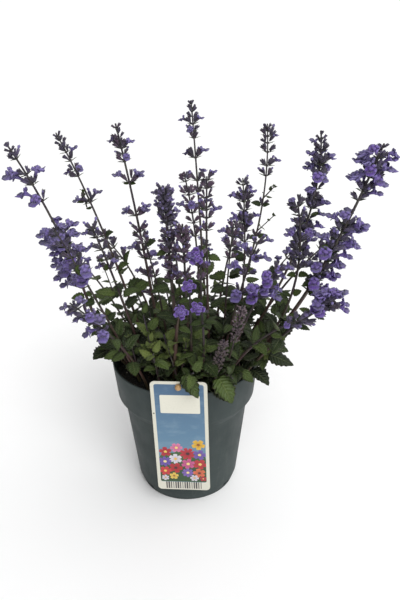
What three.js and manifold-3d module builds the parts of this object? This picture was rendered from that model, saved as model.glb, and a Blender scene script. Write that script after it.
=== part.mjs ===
// A catmint in its nursery pot: the pot, the soil, a hang label with its peg, the flowering
// stems, the spent stems and the leafy shoots. Millimetres, +Z up. The origin is the centre of
// the pot's underside, and the label hangs on the -Y side.
import * as THREE from "three";
import { mergeVertices } from "three/addons/utils/BufferGeometryUtils.js";
import Module from "manifold-3d";

const wasm = await Module();
wasm.setup();

// ---- Driving dimensions ----
const POT_HEIGHT = 133.6;
const RIM_RADIUS = 67.5;
const COLLAR_HEIGHT = 33.4; // the nearly straight band below the rim
const COLLAR_FOOT_RADIUS = 64.2;
const SHOULDER_HEIGHT = 9.2; // the slope from the collar in to the body
const BODY_TOP_RADIUS = 57.9;
const BODY_FOOT_RADIUS = 48.6;
const BEVEL_HEIGHT = 9.5; // the bevel between the body and the underside
const BASE_RADIUS = 45.2;
const PAD_RADIUS = 32; // the flat middle of the underside
const RING_RADIUS = 39.5; // the inner edge of the ring that the pot stands on
const GROOVE_DEPTH = 1.2; // between the pad and the ring
const GROOVE_SLOPE = 1; // how far its sides lean
const RIM_BEVEL_HEIGHT = 0.9;
const RIM_BEVEL_WIDTH = 0.4;
const WALL = 1.6;
const FLOOR = 3;
const INNER_RISE = 0.8; // the wall's inner corners are this much higher than its outer ones
const DRAIN_WIDTH = 10; // drain slots through the bevel
const DRAIN_HEIGHT = 3.6;
const DRAIN_FOOT = 3.6; // height of a slot's lower edge
const DRAIN_REACH = 5; // how far a slot's cutter goes each way from the body's foot
const DRAIN_ANGLES = [52, 128, 232, 308]; // degrees from the front
const SOIL_EDGE_DEPTH = 15; // from the rim down to the soil at the wall
const SOIL_CROWN = 3; // how much higher the soil is in the middle
const SOIL_TAPER = 2; // how much narrower it is than the rim's inside
const SOIL_RINGS = [0.85, 0.6, 0.3, 0]; // shares of its radius
const FIT_GAP = 0.3; // between neighbouring pieces
const SEAT_GAP = 0.4; // below a stem's foot and behind the label
const LABEL_WIDTH = 48;
const LABEL_HEIGHT = 126.2;
const LABEL_THICKNESS = 0.5;
const LABEL_CORNER = 4;
const LABEL_ABOVE_RIM = 15.3;
const LABEL_TILT = 0.6; // degrees about its hole, its foot to the right
const LABEL_TURN = 5.9; // degrees round the pot, from the front to the left
const LABEL_SHIFT = 0.7; // to the right, along the label, from where it touches the collar
const LABEL_HOLE_DROP = 4.8; // from the label's top edge to its hole
const LABEL_HOLE_RADIUS = 2.6;
const PEG_HEAD_RADIUS = 2.8;
const PEG_RADIUS = 0.9;
const PEG_RAISE = 0.5; // how far its head sits above the hole's middle
const PEG_LENGTH = 58;
const PEG_SLOPE = 28; // degrees below level
const PEG_HEAD_GAP = 0.2; // between its head and the edge of the label's hole
const PEG_POINT_SHARE = 0.5; // its far end's radius, as a share of PEG_RADIUS
const STALK_CORNERS = 4; // the stalks are square
const STALK_WIDTH = 1.5; // a stalk's half diagonal at its foot, unless the stem says another
const TIP_WIDTH = 0.9; // and at its tip
const TWIST_PER_X = 0.37; // radians per millimetre of the foot's place: how a stalk is turned
const TWIST_PER_Y = 0.23;
const STALK_STEP = 20; // between the sections of a bare stalk
const SHOOT_STEP = 9;
const WHORL_REACH = 0.45; // half a whorl's height, as a share of its radius
const WHORL_NECK = 2; // whorls nearer to each other than this are joined by a waist
const WAIST_SHARE = 0.55; // of the smaller whorl's radius
const POT_SEGMENTS = 40;

const COLOURS = {
  pot: 0x565c5d,
  soil: 0x1d1712,
  label: 0xdcdccb,
  peg: 0xc79f62,
  flowering: 0x6a5a9c,
  spent: 0x7d6668,
  leafy: 0x43552c,
};

// ---- The plant ----
// A stem starts at its foot on the soil, passes its middle and ends at its tip. Each whorl of
// flowers is [distance below the tip, radius], and width is the stalk's half diagonal at its foot.
// sway pulls the upper half of a stem to the right and its lower half to the left.
const FLOWERING_STEMS = [
  {
    name: "flower_stem_far_left",
    foot: [-46, -4],
    middle: [-83, -15, 199],
    tip: [-131, -30, 339],
    sway: 22,
    whorls: [[6, 4], [14, 6], [23, 8], [34, 10], [54, 11], [75, 12], [92, 13], [112, 11]],
  },
  {
    name: "flower_stem_left_low",
    foot: [-42, -22],
    middle: [-64, -46, 197],
    tip: [-94, -72, 286],
    whorls: [[4, 6], [17, 11], [34, 12], [51, 11], [66, 8]],
  },
  {
    name: "flower_stem_left_drooping",
    foot: [-34, -36],
    middle: [-50, -62, 176],
    tip: [-84, -92, 234],
    whorls: [[4, 7], [17, 9], [34, 9]],
  },
  {
    name: "flower_stem_left_tall",
    foot: [-34, 16],
    middle: [-69, 26, 242],
    tip: [-106, 40, 332],
    whorls: [[4, 3], [12, 5], [20, 5], [29, 7], [43, 9], [69, 9], [101, 8], [130, 10]],
  },
  {
    name: "flower_stem_left_inner",
    foot: [-34, -12],
    middle: [-56, -17, 209],
    tip: [-73, -25, 270],
    whorls: [[5, 7], [18, 8], [32, 7], [52, 8]],
  },
  {
    name: "flower_stem_centre_left",
    foot: [-20, 4],
    middle: [-35, -2, 249],
    tip: [-50, -10, 348],
    whorls: [[4, 3], [12, 4], [22, 8], [32, 6], [50, 9], [78, 10], [101, 9], [122, 9]],
  },
  {
    name: "flower_stem_centre_left_low",
    foot: [-13, -6],
    middle: [-21, -16, 200],
    tip: [-31, -28, 258],
    whorls: [[4, 6], [20, 8], [38, 7]],
  },
  {
    name: "flower_stem_front_thick",
    foot: [-4, -20],
    middle: [-9, -37, 209],
    tip: [-13, -60, 310],
    width: 2.1,
    whorls: [[4, 8], [13, 11], [23, 11], [33, 9], [46, 9], [62, 11], [76, 11], [92, 8]],
  },
  {
    name: "flower_stem_front_twin",
    foot: [3, -28],
    middle: [2, -44, 200],
    tip: [0, -62, 283],
    whorls: [[4, 6], [16, 7], [30, 8], [46, 7]],
  },
  {
    name: "flower_stem_centre_short",
    foot: [12, 6],
    middle: [13, 11, 222],
    tip: [2, 17, 302],
    whorls: [[4, 3], [10, 4], [22, 7], [38, 6], [56, 7]],
  },
  {
    name: "flower_stem_centre_tall",
    foot: [22, 22],
    middle: [16, 38, 255],
    tip: [10, 60, 354],
    whorls: [[3, 3], [9, 4], [17, 8], [26, 6], [50, 9], [71, 10], [92, 6], [112, 7]],
  },
  {
    name: "flower_stem_centre_front",
    foot: [22, -9],
    middle: [20, -16, 231],
    tip: [20, -25, 309],
    whorls: [[3, 3], [11, 5], [21, 6], [33, 8], [46, 7], [62, 6]],
  },
  {
    name: "flower_stem_front_low",
    foot: [13, -20],
    middle: [14, -38, 204],
    tip: [13, -52, 257],
    whorls: [[5, 7], [16, 7], [30, 6]],
  },
  {
    name: "flower_stem_front_bright",
    foot: [4, -40],
    middle: [5, -58, 190],
    tip: [4, -72, 236],
    whorls: [[5, 6]],
  },
  {
    name: "flower_stem_front_bright_left",
    foot: [-10, -40],
    middle: [-8, -62, 178],
    tip: [-3, -80, 220],
    whorls: [[5, 6]],
  },
  {
    name: "flower_stem_front_bright_right",
    foot: [14, -42],
    middle: [15, -64, 179],
    tip: [13, -80, 221],
    whorls: [[5, 6]],
  },
  {
    name: "flower_stem_right_inner",
    foot: [44, 12],
    middle: [55, 22, 197],
    tip: [54, 35, 291],
    whorls: [[3, 4], [10, 8], [19, 8], [30, 9], [45, 9], [62, 6]],
  },
  {
    name: "flower_stem_right_inner_low",
    foot: [34, 0],
    middle: [38, -4, 204],
    tip: [43, -8, 264],
    whorls: [[5, 7], [17, 8], [34, 6]],
  },
  {
    name: "flower_stem_right_forked",
    foot: [38, 28],
    middle: [63, 44, 210],
    tip: [78, 65, 332],
    sway: 12,
    whorls: [[3, 3], [11, 4], [22, 7], [31, 6], [40, 8], [50, 6], [67, 9], [96, 7]],
  },
  {
    name: "flower_stem_right_tall",
    foot: [48, 4],
    middle: [96, 9, 222],
    tip: [116, 15, 335],
    sway: 12,
    whorls: [[3, 3], [10, 4], [19, 8], [28, 7], [41, 11], [52, 5], [68, 9], [92, 12], [106, 11]],
  },
  {
    name: "flower_stem_right_front",
    foot: [38, -20],
    middle: [88, -28, 196],
    tip: [90, -38, 291],
    whorls: [[4, 7], [14, 8], [34, 8], [46, 11], [58, 10]],
  },
  {
    name: "flower_stem_right_middle",
    foot: [30, -14],
    middle: [47, -26, 206],
    tip: [61, -34, 258],
    whorls: [[4, 8], [17, 9], [32, 9]],
  },
  {
    name: "flower_stem_right_leaning",
    foot: [34, -24],
    middle: [54, -42, 196],
    tip: [74, -56, 242],
    whorls: [[4, 8], [18, 9], [34, 8]],
  },
  {
    name: "flower_stem_far_right",
    foot: [49, -12],
    middle: [103, -38, 215],
    tip: [143, -70, 342],
    width: 2.1,
    whorls: [[5, 10], [16, 13], [28, 12], [44, 11], [65, 13], [86, 12], [106, 13], [124, 11]],
  },
  {
    name: "flower_stem_right_drooping",
    foot: [47, -26],
    middle: [83, -58, 186],
    tip: [115, -84, 226],
    whorls: [[5, 10], [16, 8]],
  },
  {
    name: "flower_stem_right_low",
    foot: [30, -36],
    middle: [58, -60, 178],
    tip: [94, -80, 210],
    whorls: [[5, 8], [16, 7], [28, 6]],
  },
  {
    name: "flower_stem_back_far_left",
    foot: [-42, 26],
    middle: [-80, 42, 190],
    tip: [-122, 52, 230],
    whorls: [[5, 8], [18, 10], [34, 10]],
  },
  {
    name: "flower_stem_back_left",
    foot: [-22, 34],
    middle: [-48, 62, 186],
    tip: [-80, 88, 220],
    whorls: [[5, 7], [18, 9], [34, 9]],
  },
  {
    name: "flower_stem_back_centre",
    foot: [0, 36],
    middle: [-6, 66, 194],
    tip: [-12, 94, 232],
    whorls: [[5, 8], [18, 10], [34, 9]],
  },
  {
    name: "flower_stem_back_middle",
    foot: [12, 46],
    middle: [17, 80, 178],
    tip: [24, 108, 206],
    whorls: [[5, 8], [18, 9], [34, 8]],
  },
  {
    name: "flower_stem_back_right",
    foot: [28, 42],
    middle: [42, 68, 192],
    tip: [57, 90, 232],
    whorls: [[5, 7], [18, 9], [34, 9]],
  },
  {
    name: "flower_stem_back_far_right",
    foot: [46, 26],
    middle: [80, 50, 180],
    tip: [114, 70, 212],
    whorls: [[5, 8], [18, 10], [34, 9]],
  },
  {
    name: "flower_stem_right_back",
    foot: [50, 16],
    middle: [98, 20, 200],
    tip: [150, 22, 246],
    whorls: [[5, 9], [18, 11], [34, 10]],
  },
];

const SPENT_STEMS = [
  {
    name: "spent_stem_right",
    foot: [28, -44],
    middle: [38, -58, 170],
    tip: [46, -64, 214],
    whorls: [[4, 4], [12, 6], [20, 6], [28, 5]],
  },
  {
    name: "spent_stem_front",
    foot: [21, -52],
    middle: [26, -66, 158],
    tip: [31, -74, 190],
    whorls: [[4, 4], [12, 5], [20, 5]],
  },
  {
    name: "spent_stem_rim",
    foot: [54, -22],
    middle: [63, -28, 148],
    tip: [77, -37, 158],
    whorls: [[4, 5]],
  },
];

const LEAFY_SHOOTS = [
  { name: "leafy_shoot_front", foot: [2, -52], middle: [3, -62, 146], tip: [6, -78, 162] },
  { name: "leafy_shoot_front_left", foot: [-20, -46], middle: [-24, -57, 150], tip: [-26, -70, 176] },
  { name: "leafy_shoot_left", foot: [-50, -10], middle: [-62, -12, 152], tip: [-78, -16, 170] },
  { name: "leafy_shoot_left_back", foot: [-48, 14], middle: [-62, 18, 152], tip: [-82, 22, 174] },
  { name: "leafy_shoot_back_left", foot: [-30, 42], middle: [-40, 56, 152], tip: [-52, 76, 172] },
  { name: "leafy_shoot_back", foot: [-10, 50], middle: [-14, 64, 150], tip: [-20, 84, 170] },
  { name: "leafy_shoot_back_right", foot: [22, 50], middle: [28, 66, 150], tip: [36, 86, 168] },
  { name: "leafy_shoot_right_back", foot: [46, 33], middle: [57, 43, 152], tip: [78, 56, 170] },
  { name: "leafy_shoot_right", foot: [55, -4], middle: [67, -3, 149], tip: [87, -6, 165] },
  { name: "leafy_shoot_front_right", foot: [26, -47], middle: [31, -62, 148], tip: [38, -78, 156] },
  { name: "leafy_shoot_inner_left", foot: [-22, -26], middle: [-28, -34, 158], tip: [-34, -44, 198] },
  { name: "leafy_shoot_inner_back", foot: [-14, 22], middle: [-24, 30, 164], tip: [-32, 40, 206] },
  { name: "leafy_shoot_inner_right", foot: [32, 14], middle: [40, 10, 160], tip: [48, 4, 198] },
  { name: "leafy_shoot_inner_front", foot: [-12, -32], middle: [-14, -44, 152], tip: [-17, -56, 186] },
];

// Room to pour water in, between the rim and the stems: [lowest corner, highest corner].
const WATERING_GAPS = [
  [[-50, -38, 121], [-38, -31, 140]],
  [[38, -43, 121], [46, -32, 134]],
  [[-4, 52, 121], [10, 61, 134]],
];

const PAIR_TURN = 90; // degrees between one pair of leaves and the next
const LEAF_START = 13; // height of the lowest leaves above the soil
const LEAF_SPACING = 28;
const LEAF_PAIRS = 3; // at most, on a flowering stem
const LEAF_END = 8; // no leaf this close below the lowest whorl
const LEAF_LENGTH = 25;
const LEAF_SHRINK = 0.55; // the top leaves' length, as a share of the lowest ones'
const LEAF_THICKNESS = 0.9;
const LEAF_ROOT = 0.5; // how far from the middle of its stalk a leaf begins
const LEAF_RISE = 0.35; // radians above square to the stalk
const LEAF_WIDTH_SHARE = 0.62; // this and the next three are shares of the leaf's length
const LEAF_SHOULDER = 0.42; // where it is widest
const LEAF_FOLD = 0.14; // how much higher its sides are than its midrib
const LEAF_DROOP = 0.12; // how much lower its tip is than its root
const SHOOT_LEAF_START = 10;
const SHOOT_LEAF_SPACING = 17;
const SHOOT_LEAF_PAIRS = 4;
const SHOOT_LEAF_LENGTH = 24;

// How pieces give way to each other: the sizes, lifts and turns that are tried in this order.
const CLEARANCE = 0.45; // left round a leaf or a whorl
const SMALLEST_OVERLAP = 1e-6; // less than this, in cubic millimetres, counts as clear
const WHORL_SIZES = [1, 0.9, 0.8, 0.7, 0.6, 0.5, 0.4, 0.3];
const LEAF_SIZES = [1, 0.8, 0.62];
const LEAF_LIFTS = [0, 0.35, -0.3]; // radians
const LEAF_TURNS = [0, 0.35, -0.35, 0.7, -0.7];

// ---- Solids ----
function solidOf(geometry) {
  const bare = geometry.index ? geometry.toNonIndexed() : geometry.clone();
  bare.deleteAttribute("normal");
  bare.deleteAttribute("uv");
  const merged = mergeVertices(bare, 1e-4);
  return new wasm.Manifold(
    new wasm.Mesh({
      numProp: 3,
      vertProperties: merged.attributes.position.array,
      triVerts: new Uint32Array(merged.index.array),
    }),
  );
}

function geometryOf(solid) {
  const mesh = solid.getMesh();
  const geometry = new THREE.BufferGeometry();
  geometry.setAttribute("position", new THREE.BufferAttribute(mesh.vertProperties, 3));
  geometry.setIndex(new THREE.BufferAttribute(mesh.triVerts, 1));
  geometry.computeVertexNormals();
  return geometry;
}

// A profile of [radius, height] points, turned about the Z axis.
function turned(profile) {
  const points = profile.map(([radius, height]) => new THREE.Vector2(radius, height));
  return new THREE.LatheGeometry(points, POT_SEGMENTS).rotateX(Math.PI / 2);
}

// Rings of equally many points, joined in turn and closed by a fan at each end.
function lofted(rings) {
  const corners = rings[0].length;
  const positions = rings.flat().flatMap((point) => point.toArray());
  const index = [];
  for (let ring = 0; ring + 1 < rings.length; ring += 1) {
    for (let corner = 0; corner < corners; corner += 1) {
      const next = (corner + 1) % corners;
      const low = ring * corners;
      const high = low + corners;
      index.push(low + corner, low + next, high + next);
      index.push(low + corner, high + next, high + corner);
    }
  }
  const last = (rings.length - 1) * corners;
  for (let corner = 1; corner + 1 < corners; corner += 1) {
    index.push(0, corner + 1, corner);
    index.push(last, last + corner, last + corner + 1);
  }
  const geometry = new THREE.BufferGeometry();
  geometry.setAttribute("position", new THREE.Float32BufferAttribute(positions, 3));
  geometry.setIndex(index);
  return geometry;
}

// ---- The pot and the soil ----
const soilRadius = RIM_RADIUS - WALL - FIT_GAP - SOIL_TAPER;

function soilHeight(radius) {
  return POT_HEIGHT - SOIL_EDGE_DEPTH + SOIL_CROWN * (1 - (radius / soilRadius) ** 2);
}

const shoulderTop = POT_HEIGHT - COLLAR_HEIGHT;
const shoulderFoot = shoulderTop - SHOULDER_HEIGHT;

function makePot() {
  const profile = [
    [0, 0],
    [PAD_RADIUS, 0],
    [PAD_RADIUS + GROOVE_SLOPE, GROOVE_DEPTH],
    [RING_RADIUS - GROOVE_SLOPE, GROOVE_DEPTH],
    [RING_RADIUS, 0],
    [BASE_RADIUS, 0],
    [BODY_FOOT_RADIUS, BEVEL_HEIGHT],
    [BODY_TOP_RADIUS, shoulderFoot],
    [COLLAR_FOOT_RADIUS, shoulderTop],
    [RIM_RADIUS, POT_HEIGHT - RIM_BEVEL_HEIGHT],
    [RIM_RADIUS - RIM_BEVEL_WIDTH, POT_HEIGHT],
    [RIM_RADIUS - WALL, POT_HEIGHT],
    [COLLAR_FOOT_RADIUS - WALL, shoulderTop + INNER_RISE],
    [BODY_TOP_RADIUS - WALL, shoulderFoot + INNER_RISE],
    [BODY_FOOT_RADIUS - WALL, BEVEL_HEIGHT + INNER_RISE],
    [BASE_RADIUS - WALL, FLOOR],
    [0, FLOOR],
  ];
  let pot = solidOf(turned(profile));
  for (const angle of DRAIN_ANGLES) {
    const slot = new THREE.BoxGeometry(DRAIN_WIDTH, 2 * DRAIN_REACH, DRAIN_HEIGHT);
    slot.translate(0, -BODY_FOOT_RADIUS, DRAIN_FOOT + DRAIN_HEIGHT / 2);
    slot.rotateZ(THREE.MathUtils.degToRad(angle));
    pot = pot.subtract(solidOf(slot));
  }
  return pot;
}

function makeSoil(socket) {
  const inset = WALL + FIT_GAP;
  const rise = INNER_RISE + FIT_GAP;
  const profile = [
    [0, FLOOR + FIT_GAP],
    [BASE_RADIUS - inset, FLOOR + FIT_GAP],
    [BODY_FOOT_RADIUS - inset, BEVEL_HEIGHT + rise],
    [BODY_TOP_RADIUS - inset, shoulderFoot + rise],
    [COLLAR_FOOT_RADIUS - inset, shoulderTop + rise],
    [soilRadius, POT_HEIGHT - SOIL_EDGE_DEPTH],
  ];
  for (const share of SOIL_RINGS) {
    profile.push([soilRadius * share, soilHeight(soilRadius * share)]);
  }
  return solidOf(turned(profile)).subtract(socket);
}

// ---- The label and its peg ----
const labelLean = Math.atan((RIM_RADIUS - COLLAR_FOOT_RADIUS) / COLLAR_HEIGHT);

// The label lies flat round its top edge's middle first. It tilts about its hole, stands up,
// leans as the collar does, and then goes round the pot.
function placeLabel(geometry) {
  geometry.translate(0, LABEL_HOLE_DROP, 0);
  geometry.rotateZ(THREE.MathUtils.degToRad(LABEL_TILT));
  geometry.translate(0, -LABEL_HOLE_DROP, 0);
  geometry.rotateX(Math.PI / 2);
  geometry.rotateX(labelLean);
  const outwards = LABEL_ABOVE_RIM * Math.tan(labelLean) + SEAT_GAP / Math.cos(labelLean);
  geometry.translate(LABEL_SHIFT, -RIM_RADIUS - outwards, POT_HEIGHT + LABEL_ABOVE_RIM);
  geometry.rotateZ(-THREE.MathUtils.degToRad(LABEL_TURN));
  return geometry;
}

function roundedCard(width, height, corner) {
  const card = new THREE.Shape();
  const side = width / 2;
  card.moveTo(-side + corner, 0);
  card.lineTo(side - corner, 0);
  card.absarc(side - corner, -corner, corner, Math.PI / 2, 0, true);
  card.lineTo(side, corner - height);
  card.absarc(side - corner, corner - height, corner, 0, -Math.PI / 2, true);
  card.lineTo(corner - side, -height);
  card.absarc(corner - side, corner - height, corner, -Math.PI / 2, -Math.PI, true);
  card.lineTo(-side, -corner);
  card.absarc(corner - side, -corner, corner, Math.PI, Math.PI / 2, true);
  return card;
}

function makeLabel() {
  const card = roundedCard(LABEL_WIDTH, LABEL_HEIGHT, LABEL_CORNER);
  const hole = new THREE.Path();
  hole.absarc(0, -LABEL_HOLE_DROP, LABEL_HOLE_RADIUS, 0, Math.PI * 2, false);
  card.holes.push(hole);
  const sheet = new THREE.ExtrudeGeometry(card, {
    depth: LABEL_THICKNESS,
    bevelEnabled: false,
    curveSegments: 4,
  });
  return solidOf(placeLabel(sheet));
}

// The peg's head is a little wider than the label's hole and sits in front of it. The shank
// slopes back through the hole and over the rim into the soil. A grown shank, without the head,
// is what cuts its socket in the soil.
function makePeg(growth) {
  const reach = PEG_HEAD_RADIUS + PEG_HEAD_GAP;
  const headOut =
    LABEL_THICKNESS + Math.sqrt(reach ** 2 - (LABEL_HOLE_RADIUS - PEG_RAISE) ** 2);
  const centre = new THREE.BufferGeometry();
  centre.setAttribute(
    "position",
    new THREE.Float32BufferAttribute([0, PEG_RAISE - LABEL_HOLE_DROP, headOut], 3),
  );
  placeLabel(centre);
  const [x, y, z] = centre.attributes.position.array;
  const head = new THREE.SphereGeometry(PEG_HEAD_RADIUS, 10, 6);
  const length = PEG_LENGTH + growth;
  const point = PEG_RADIUS * PEG_POINT_SHARE + growth;
  const shank = new THREE.CylinderGeometry(point, PEG_RADIUS + growth, length, 6);
  shank.translate(0, length / 2, 0);
  shank.rotateX(-THREE.MathUtils.degToRad(PEG_SLOPE));
  head.translate(x, y, z);
  shank.translate(x, y, z);
  return growth ? solidOf(shank) : solidOf(head).add(solidOf(shank));
}

// ---- Stems ----
function pathOf(stem) {
  const [footX, footY] = stem.foot;
  const seat = soilHeight(Math.hypot(footX, footY)) + SEAT_GAP;
  const foot = new THREE.Vector3(footX, footY, seat);
  const tip = new THREE.Vector3(...stem.tip);
  const middle = new THREE.Vector3(...stem.middle);
  const pull = middle.multiplyScalar(2).sub(foot.clone().add(tip).multiplyScalar(0.5));
  const low = foot.clone().lerp(pull, 2 / 3);
  const high = tip.clone().lerp(pull, 2 / 3);
  low.x -= stem.sway ?? 0;
  high.x += stem.sway ?? 0;
  return new THREE.CubicBezierCurve3(foot, low, high, tip);
}

// The place on a path at a share of its length, with two directions across it, square to the
// stalk's faces. Each stem is turned about itself by an angle that its foot decides.
function frameAt(path, share) {
  const along = path.getTangentAt(share);
  const twist = path.v0.x * TWIST_PER_X + path.v0.y * TWIST_PER_Y;
  const side = new THREE.Vector3(Math.cos(twist), Math.sin(twist), 0);
  side.addScaledVector(along, -along.dot(side)).normalize();
  const front = new THREE.Vector3().crossVectors(along, side);
  return { centre: path.getPointAt(share), along, side, front };
}

function ringAt(path, share, radius, level) {
  const { centre, side, front } = frameAt(path, share);
  const ring = [];
  for (let corner = 0; corner < STALK_CORNERS; corner += 1) {
    const angle = ((corner + 0.5) * 2 * Math.PI) / STALK_CORNERS;
    const point = centre.clone();
    point.addScaledVector(side, radius * Math.cos(angle));
    point.addScaledVector(front, radius * Math.sin(angle));
    if (level) point.z = centre.z;
    ring.push(point);
  }
  return ring;
}

// A square stalk that tapers upwards, with a bead for each whorl. fullness scales the beads,
// and growth thickens everything.
function stalkWithWhorls(stem, path, fullness, growth) {
  const length = path.getLength();
  const footWidth = stem.width ?? STALK_WIDTH;
  const widthAt = (share) => footWidth + (TIP_WIDTH - footWidth) * share;
  const stationStep = stem.whorls ? STALK_STEP : SHOOT_STEP;
  const beads = (stem.whorls ?? [[SHOOT_STEP, 0]])
    .map(([drop, radius]) => ({
      share: 1 - drop / length,
      radius: radius * fullness,
      reach: (WHORL_REACH * radius * fullness) / length,
    }))
    .reverse();
  const bare = beads[0].share - beads[0].reach;
  const steps = Math.ceil((bare * length) / stationStep);
  const stations = [];
  for (let step = 0; step < steps; step += 1) {
    stations.push([(bare * step) / steps, widthAt((bare * step) / steps)]);
  }
  beads.forEach(({ share, radius, reach }, i) => {
    const below = i ? beads[i - 1] : null;
    const gap = below ? share - reach - below.share - below.reach : 1;
    if (gap < WHORL_NECK / length) {
      const waist = (below.share + share) / 2;
      const joined = WAIST_SHARE * Math.min(below.radius, radius);
      stations.push([waist, Math.max(joined, widthAt(waist))]);
    } else {
      if (below) stations.push([below.share + below.reach, widthAt(below.share)]);
      if (reach) stations.push([share - reach, widthAt(share)]);
    }
    stations.push([share, Math.max(radius, widthAt(share))]);
  });
  stations.push([1, widthAt(1)]);
  return solidOf(
    lofted(stations.map(([share, radius], i) => ringAt(path, share, radius + growth, i === 0))),
  );
}

// A pointed leaf folded a little along its midrib, from the stalk's middle outwards.
function leafSolid(frame, turn, rise, length, growth) {
  const { centre, along, side, front } = frame;
  const outwards = side.clone().multiplyScalar(Math.cos(turn));
  outwards.addScaledVector(front, Math.sin(turn));
  const across = new THREE.Vector3().crossVectors(along, outwards).normalize();
  const ahead = outwards.clone().multiplyScalar(Math.cos(rise));
  ahead.addScaledVector(along, Math.sin(rise)).normalize();
  const up = new THREE.Vector3().crossVectors(ahead, across).normalize();
  const halfWidth = (length * LEAF_WIDTH_SHARE) / 2 + growth;
  const thickness = LEAF_THICKNESS / 2 + growth;
  const outline = [
    [0, 0, 0],
    [-halfWidth, LEAF_SHOULDER * length, LEAF_FOLD * length],
    [0, length + growth, -LEAF_DROOP * length],
    [halfWidth, LEAF_SHOULDER * length, LEAF_FOLD * length],
  ];
  const layer = (offset) =>
    outline.map(([x, y, z]) =>
      centre
        .clone()
        .addScaledVector(outwards, LEAF_ROOT)
        .addScaledVector(across, x)
        .addScaledVector(ahead, y)
        .addScaledVector(up, z + offset),
    );
  return solidOf(lofted([layer(-thickness), layer(thickness)]));
}

// ---- Growing the plant ----
const grown = []; // { name, solid, box } of every piece so far

function boxOf(solid) {
  const box = solid.boundingBox();
  return new THREE.Box3(new THREE.Vector3(...box.min), new THREE.Vector3(...box.max));
}

function keep(name, solid) {
  const found = grown.find((piece) => piece.name === name);
  if (found) Object.assign(found, { solid, box: boxOf(solid) });
  else grown.push({ name, solid, box: boxOf(solid) });
}

// Whether a solid meets no piece apart from the named ones.
function isClear(solid, names) {
  const box = boxOf(solid);
  return !grown.some(
    (piece) =>
      !names.includes(piece.name) &&
      piece.box.intersectsBox(box) &&
      piece.solid.intersect(solid).volume() > SMALLEST_OVERLAP,
  );
}

// Whorls that would meet a neighbour are drawn in until they clear it.
function growStalk(stem) {
  const path = pathOf(stem);
  const fullness = WHORL_SIZES.find((size) =>
    isClear(stalkWithWhorls(stem, path, size, CLEARANCE), [stem.name, "soil"]),
  );
  if (!fullness) throw new Error(stem.name + " has no room");
  keep(stem.name, stalkWithWhorls(stem, path, fullness, 0));
}

// A leaf that would meet a neighbour is turned or raised a little, then made shorter. The
// crowded places are left without.
function growLeaf(stem, frame, turn, length) {
  for (const size of LEAF_SIZES) {
    for (const lift of LEAF_LIFTS) {
      for (const shift of LEAF_TURNS) {
        const place = [frame, turn + shift, LEAF_RISE + lift];
        if (!isClear(leafSolid(...place, length * size, CLEARANCE), [stem.name])) continue;
        const own = grown.find((piece) => piece.name === stem.name);
        keep(stem.name, own.solid.add(leafSolid(...place, length * size, 0)));
        return;
      }
    }
  }
}

function growLeaves(stem, { start, end, spacing, length, most }) {
  const path = pathOf(stem);
  const stalkLength = path.getLength();
  let pair = 0;
  for (let height = start; height < end && pair < most; height += spacing) {
    const share = height / stalkLength;
    const frame = frameAt(path, share);
    const size = length * (1 - (1 - LEAF_SHRINK) * share);
    const turn = THREE.MathUtils.degToRad(pair * PAIR_TURN);
    growLeaf(stem, frame, turn, size);
    growLeaf(stem, frame, turn + Math.PI, size);
    pair += 1;
  }
}

keep("pot", makePot());
keep("soil", makeSoil(makePeg(FIT_GAP)));
keep("label", makeLabel());
keep("label_peg", makePeg(0));

for (const [low, high] of WATERING_GAPS) {
  const size = high.map((value, axis) => value - low[axis]);
  const gap = new THREE.BoxGeometry(...size);
  gap.translate(...low.map((value, axis) => value + size[axis] / 2));
  keep("watering_gap_" + low[0], solidOf(gap));
}

const blooming = [...FLOWERING_STEMS, ...SPENT_STEMS];
for (const stem of [...blooming, ...LEAFY_SHOOTS]) growStalk(stem);
for (const shoot of LEAFY_SHOOTS) {
  growLeaves(shoot, {
    start: SHOOT_LEAF_START,
    end: pathOf(shoot).getLength(),
    spacing: SHOOT_LEAF_SPACING,
    length: SHOOT_LEAF_LENGTH,
    most: SHOOT_LEAF_PAIRS,
  });
}
for (const stem of blooming) {
  const lowestWhorl = Math.max(...stem.whorls.map(([drop]) => drop));
  growLeaves(stem, {
    start: LEAF_START,
    end: pathOf(stem).getLength() - lowestWhorl - LEAF_END,
    spacing: LEAF_SPACING,
    length: LEAF_LENGTH,
    most: LEAF_PAIRS,
  });
}

// ---- The scene graph ----
function kindOf(name) {
  if (name in COLOURS) return name;
  if (name === "label_peg") return "peg";
  if (name.startsWith("flower_stem")) return "flowering";
  return name.startsWith("spent_stem") ? "spent" : "leafy";
}

const catmint = new THREE.Group();
for (const { name, solid } of grown.filter((piece) => !piece.name.startsWith("watering_gap"))) {
  const material = new THREE.MeshStandardMaterial({
    color: COLOURS[kindOf(name)],
    roughness: name === "label" ? 0.35 : 0.75,
    metalness: 0,
  });
  const mesh = new THREE.Mesh(geometryOf(solid), material);
  mesh.name = name;
  catmint.add(mesh);
}

export default catmint;
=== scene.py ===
"""Looks of the potted catmint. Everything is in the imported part's frame: metres, +Z up, the
origin at the centre of the pot's underside and the label on the -Y side. Sizes below are written
in millimetres and turned into metres by MM."""

import random
from itertools import product
from math import atan, cos, hypot, pi, radians, sin, sqrt, tan

import bpy
from mathutils import Matrix, Quaternion, Vector, noise


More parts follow.
